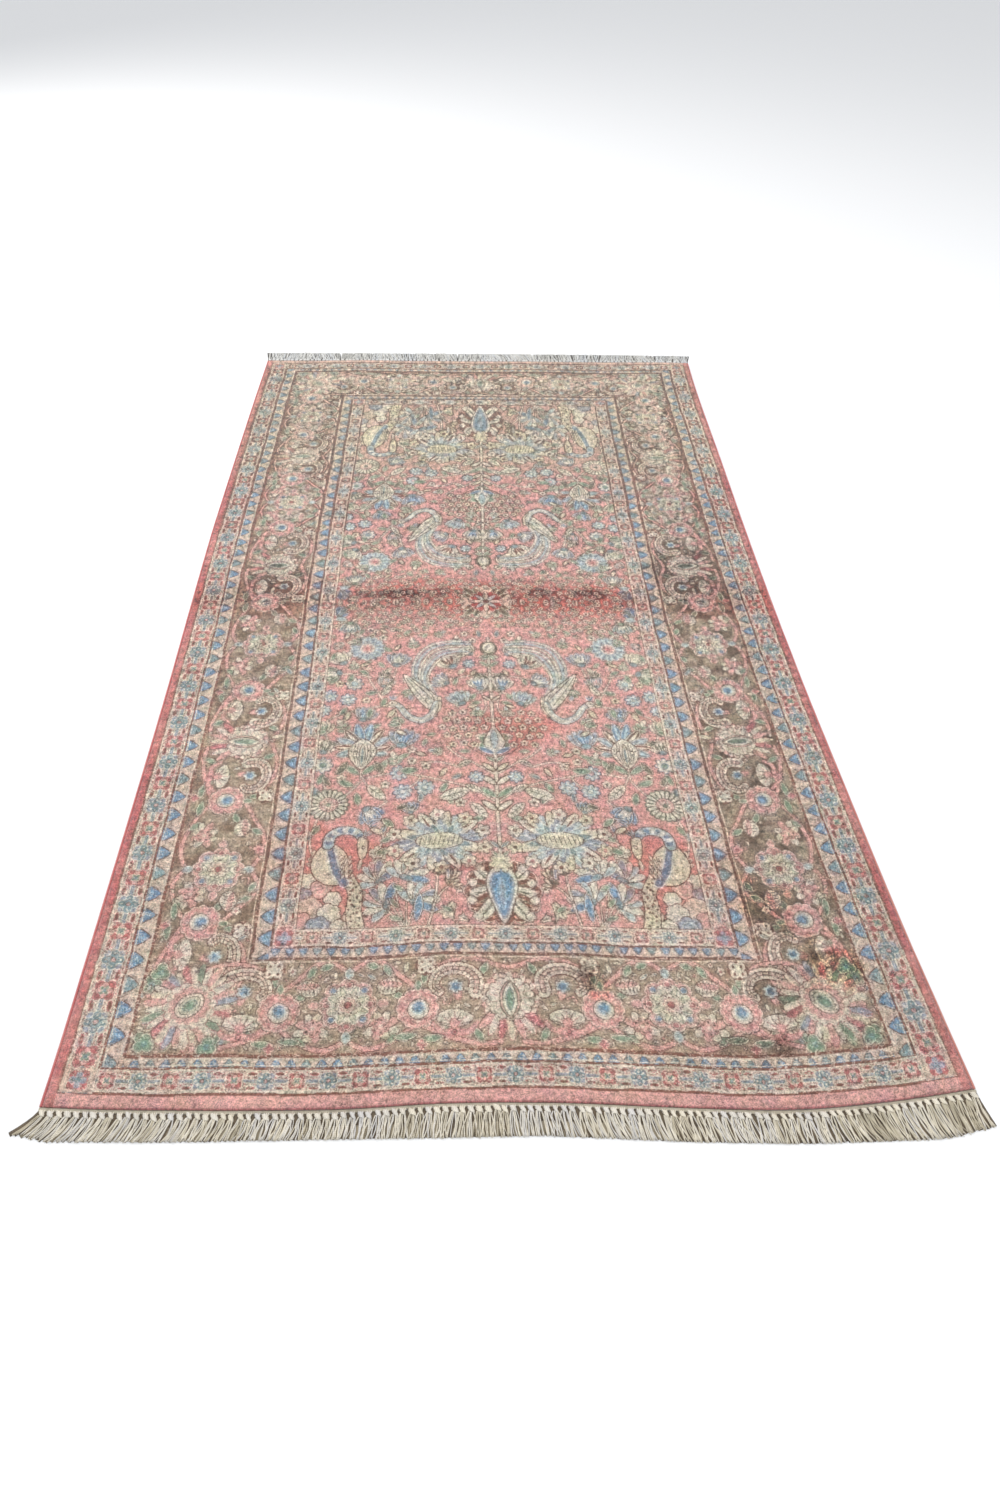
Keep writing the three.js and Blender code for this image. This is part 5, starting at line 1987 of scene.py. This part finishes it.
def darkened(pile, colour):
    """Painted shade on the fold across the middle: a dark band on its ridge, with a painted deeper red
    beside it, and other dark and red places.
    """
    s = pile.s
    kinds = [(float(dye in PALE_DYES), float(dye == "taupe"), 0.0, 1.0) for dye in DYES]
    pale, ground, _ = s.split(pile.palette(kinds))
    firm = s.math("MULTIPLY_ADD", pale, -0.7, 1.0)
    # painted shade: a deeper red on the flanks of the fold, mostly on the darker yarns
    crease_flank_shade = s.times(s.span(pile.crease, 2.6, 0.6, smooth=True), s.span(pile.broad, 0.4, 0.6, 0.2, 0.6))
    colour = s.mix(s.times(crease_flank_shade, firm), colour, light(242, 146, 128), "MULTIPLY")
    # painted shade: the dark band along the fold's ridge, and the places of DARK_PLACES, darkened towards
    # brown
    dark = s.times(s.span(pile.crease, 1.3, 0.1, smooth=True), s.span(pile.cloud, 0.44, 0.62, 0.1, 0.8))
    for x, y, wide, deep, strength in DARK_PLACES:
        mark = pile.spot((x, y), (wide, deep), pile.ragged_edge)
        dark = s.math("MAXIMUM", dark, s.times(mark, strength))
    dark = s.times(s.times(dark, firm), s.span(pile.tuft, 0.38, 0.58, 1.1, 0.6))
    colour = s.mix(dark, colour, light(116, 80, 64), "MULTIPLY")
    deep = s.times(ground, s.span(pile.cloud, 0.42, 0.62, 0.0, 0.75, smooth=True))
    deep = s.times(deep, s.span(pile.y, -820.0, -900.0, 1.0, 0.3))
    deeper = s.mix(s.span(pile.x, 300.0, 420.0), light(158, 138, 128), light(112, 88, 78))
    colour = s.mix(deep, colour, deeper, "MULTIPLY")
    # deeper red places; the one along the crease is painted shade on the fold's flank
    for x, y, wide, deep in RED_PLACES:
        mark = s.times(s.times(pile.spot((x, y), (wide, deep), pile.rough_edge), firm), 0.7)
        colour = s.mix(mark, colour, light(244, 196, 190), "MULTIPLY")
    return colour


def marked(pile, colour):
    """The most saturated places and the old spills."""
    s = pile.s
    for centre, size, amount in VIVID_PLACES:
        vivid = s.vector("MULTIPLY", s.vector("MULTIPLY", colour, colour), (1.75, 1.7, 1.5))
        colour = s.mix(s.times(pile.spot(centre, size, pile.ragged_edge), amount), colour, vivid)
    for centre, size, shade in STAINS:
        mark = s.times(pile.spot(centre, size, pile.ragged_edge), s.span(pile.tuft, 0.4, 0.56, 0.9, 0.35))
        colour = s.mix(mark, colour, light(*shade), "MULTIPLY")
    return colour


def tuft_height(pile):
    """Each knot stands up as a small tuft, and the brown yarn has worn low."""
    s = pile.s
    dome = 1.0
    for part in (pile.across, pile.along):
        off = s.minus(s.math("FRACT", part), 0.5)
        dome = s.minus(dome, s.times(s.times(off, off), 1.6))
    worn_low = s.math("LESS_THAN", pile.yarn, 0.5)
    height = s.add(s.times(dome, 0.5), s.times(pile.fibre, 0.9))
    height = s.add(height, s.times(pile.tuft, 2.2))
    height = s.minus(height, s.times(worn_low, 0.9))
    return s.add(height, s.times(pile.own, 0.35))


def silk_pile():
    s = Shader("silk_pile")
    pile = Pile(s)
    colour = marked(pile, darkened(pile, mottled(pile, dyed(pile))))
    gloss = {"Specular IOR Level": 0.35, "Sheen Weight": 0.35, "Sheen Roughness": 0.35}
    return s.surface(colour, 0.62, tuft_height(pile), 0.9 * MM, 0.8, gloss)


def silk_back():
    """The underside: rows of knots without a design."""
    s = Shader("silk_back")
    knot = s.attribute("knot")
    x, y, _ = s.split(knot)
    loops = s.times(s.math("SINE", s.times(x, FULL_TURN)), s.math("SINE", s.times(y, FULL_TURN)))
    mottle = s.grain(knot, 0.05, 4.0, 0.7)
    colour = s.shades(mottle, (0.3, 176, 120, 108), (0.5, 206, 172, 148), (0.7, 150, 138, 128))
    return s.surface(colour, 0.8, loops, 0.4 * MM, 0.6)


def overcast_silk():
    """The wrapped side cords: rose on most of their length, tan towards the near right corner."""
    s = Shader("overcast_silk")
    x, y, _ = s.split(s.node("ShaderNodeTexCoord").outputs["Object"])
    wear = s.grain(s.join(0.0, s.times(y, 14.0)), 1.0, 4.0, 0.7)
    tan = s.times(s.span(x, 0.0, 0.2), s.span(y, -0.2, -0.9, smooth=True))
    rose = s.shades(wear, (0.3, 178, 88, 88), (0.5, 198, 106, 102), (0.72, 206, 140, 130))
    colour = s.mix(s.times(tan, 0.4), rose, light(196, 150, 128))
    # painted shade: darker in the grooves between the wraps
    colour = s.dim(colour, s.span(s.value("tone"), 0.1, 0.8, 0.62, 1.0))
    strand = s.grain(s.vector("MULTIPLY", s.attribute("ply"), (1.0, 9.0, 9.0)), 1.0, 2.0)
    return s.surface(colour, 0.6, strand, 0.3 * MM, 0.5, {"Sheen Weight": 0.3})


def cotton(name, *shades):
    """Fringe yarn: two plies, in shades that change from tassel to tassel."""
    s = Shader(name)
    length, cosine, sine = s.split(s.attribute("ply"))
    turn = s.math("ARCTAN2", sine, cosine)
    twist = s.math("SINE", s.add(s.times(turn, 2.0), s.times(length, 2.4)))
    base = s.shades(s.value("tone"), *shades)
    # painted shade: darker in the grooves of the twist
    groove = s.span(twist, -1.0, -0.2, 0.74, 1.0)
    dust = s.grain(s.node("ShaderNodeTexCoord").outputs["Object"], 60.0, 3.0)
    colour = s.dim(base, s.times(groove, s.span(dust, 0.3, 0.7, 0.86, 1.08)))
    return s.surface(colour, 0.85, twist, 0.25 * MM, 0.5, {"Sheen Weight": 0.15})


def heading_weave():
    """Plain-woven cotton. Its pitches are in mm."""
    s = Shader("heading_weave")
    weave = s.attribute("weave")
    x, y, _ = s.split(weave)
    warps = s.math("SINE", s.times(x, FULL_TURN / 1.35))
    wefts = s.math("SINE", s.times(y, FULL_TURN / 1.1))
    cloth = s.times(warps, wefts)
    dust = s.grain(weave, 0.09, 4.0, 0.6)
    colour = s.shades(dust, (0.3, 176, 168, 148), (0.55, 214, 204, 182), (0.75, 206, 198, 180))
    # painted shade: darker in the hollows of the weave
    colour = s.dim(colour, s.span(cloth, -1.0, 1.0, 0.82, 1.04))
    return s.surface(colour, 0.88, cloth, 0.35 * MM, 0.6)


# ---- The whole rug ------------------------------------------------------------------------------


def rug():
    pile, grid = add_rug(whole_chart(), [silk_pile(), silk_back()])
    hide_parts("rug_body")
    side_material = overcast_silk()
    for name, edge, outward in (("selvedge_left", grid[:, 0], -1), ("selvedge_right", grid[:, -1], 1)):
        side = add_selvedge(f"overcast_{name}", edge, outward, side_material)
        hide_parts(name)
    weave = heading_weave()
    # The first shade, at tone 0, is the painted shadow of the dark strands packed under the tassels.
    near_cotton = cotton("fringe_cotton_near", (0.0, 104, 90, 72), (0.06, 190, 178, 152),
                         (0.5, 238, 229, 210), (0.95, 222, 218, 214))
    far_cotton = cotton("fringe_cotton_far", (0.0, 96, 92, 88), (0.06, 188, 186, 180),
                        (0.5, 232, 230, 224), (0.95, 220, 222, 224))
    for name, end, up, tips, leans, strands, material in (
        ("fringe_near", grid[0], -1, NEAR_TIPS, NEAR_LEAN, 8, near_cotton),
        ("fringe_far", grid[-1], 1, FAR_TIPS, FAR_LEAN, 7, far_cotton),
    ):
        tassels = add_tassels(f"{name}_tassels", end, up, tips, leans, strands, material)
        heading = add_heading(f"{name}_heading", end, up, weave)
        for obj in (tassels, heading):
            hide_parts(name)


add_camera()
add_light()
add_floor()
rug()
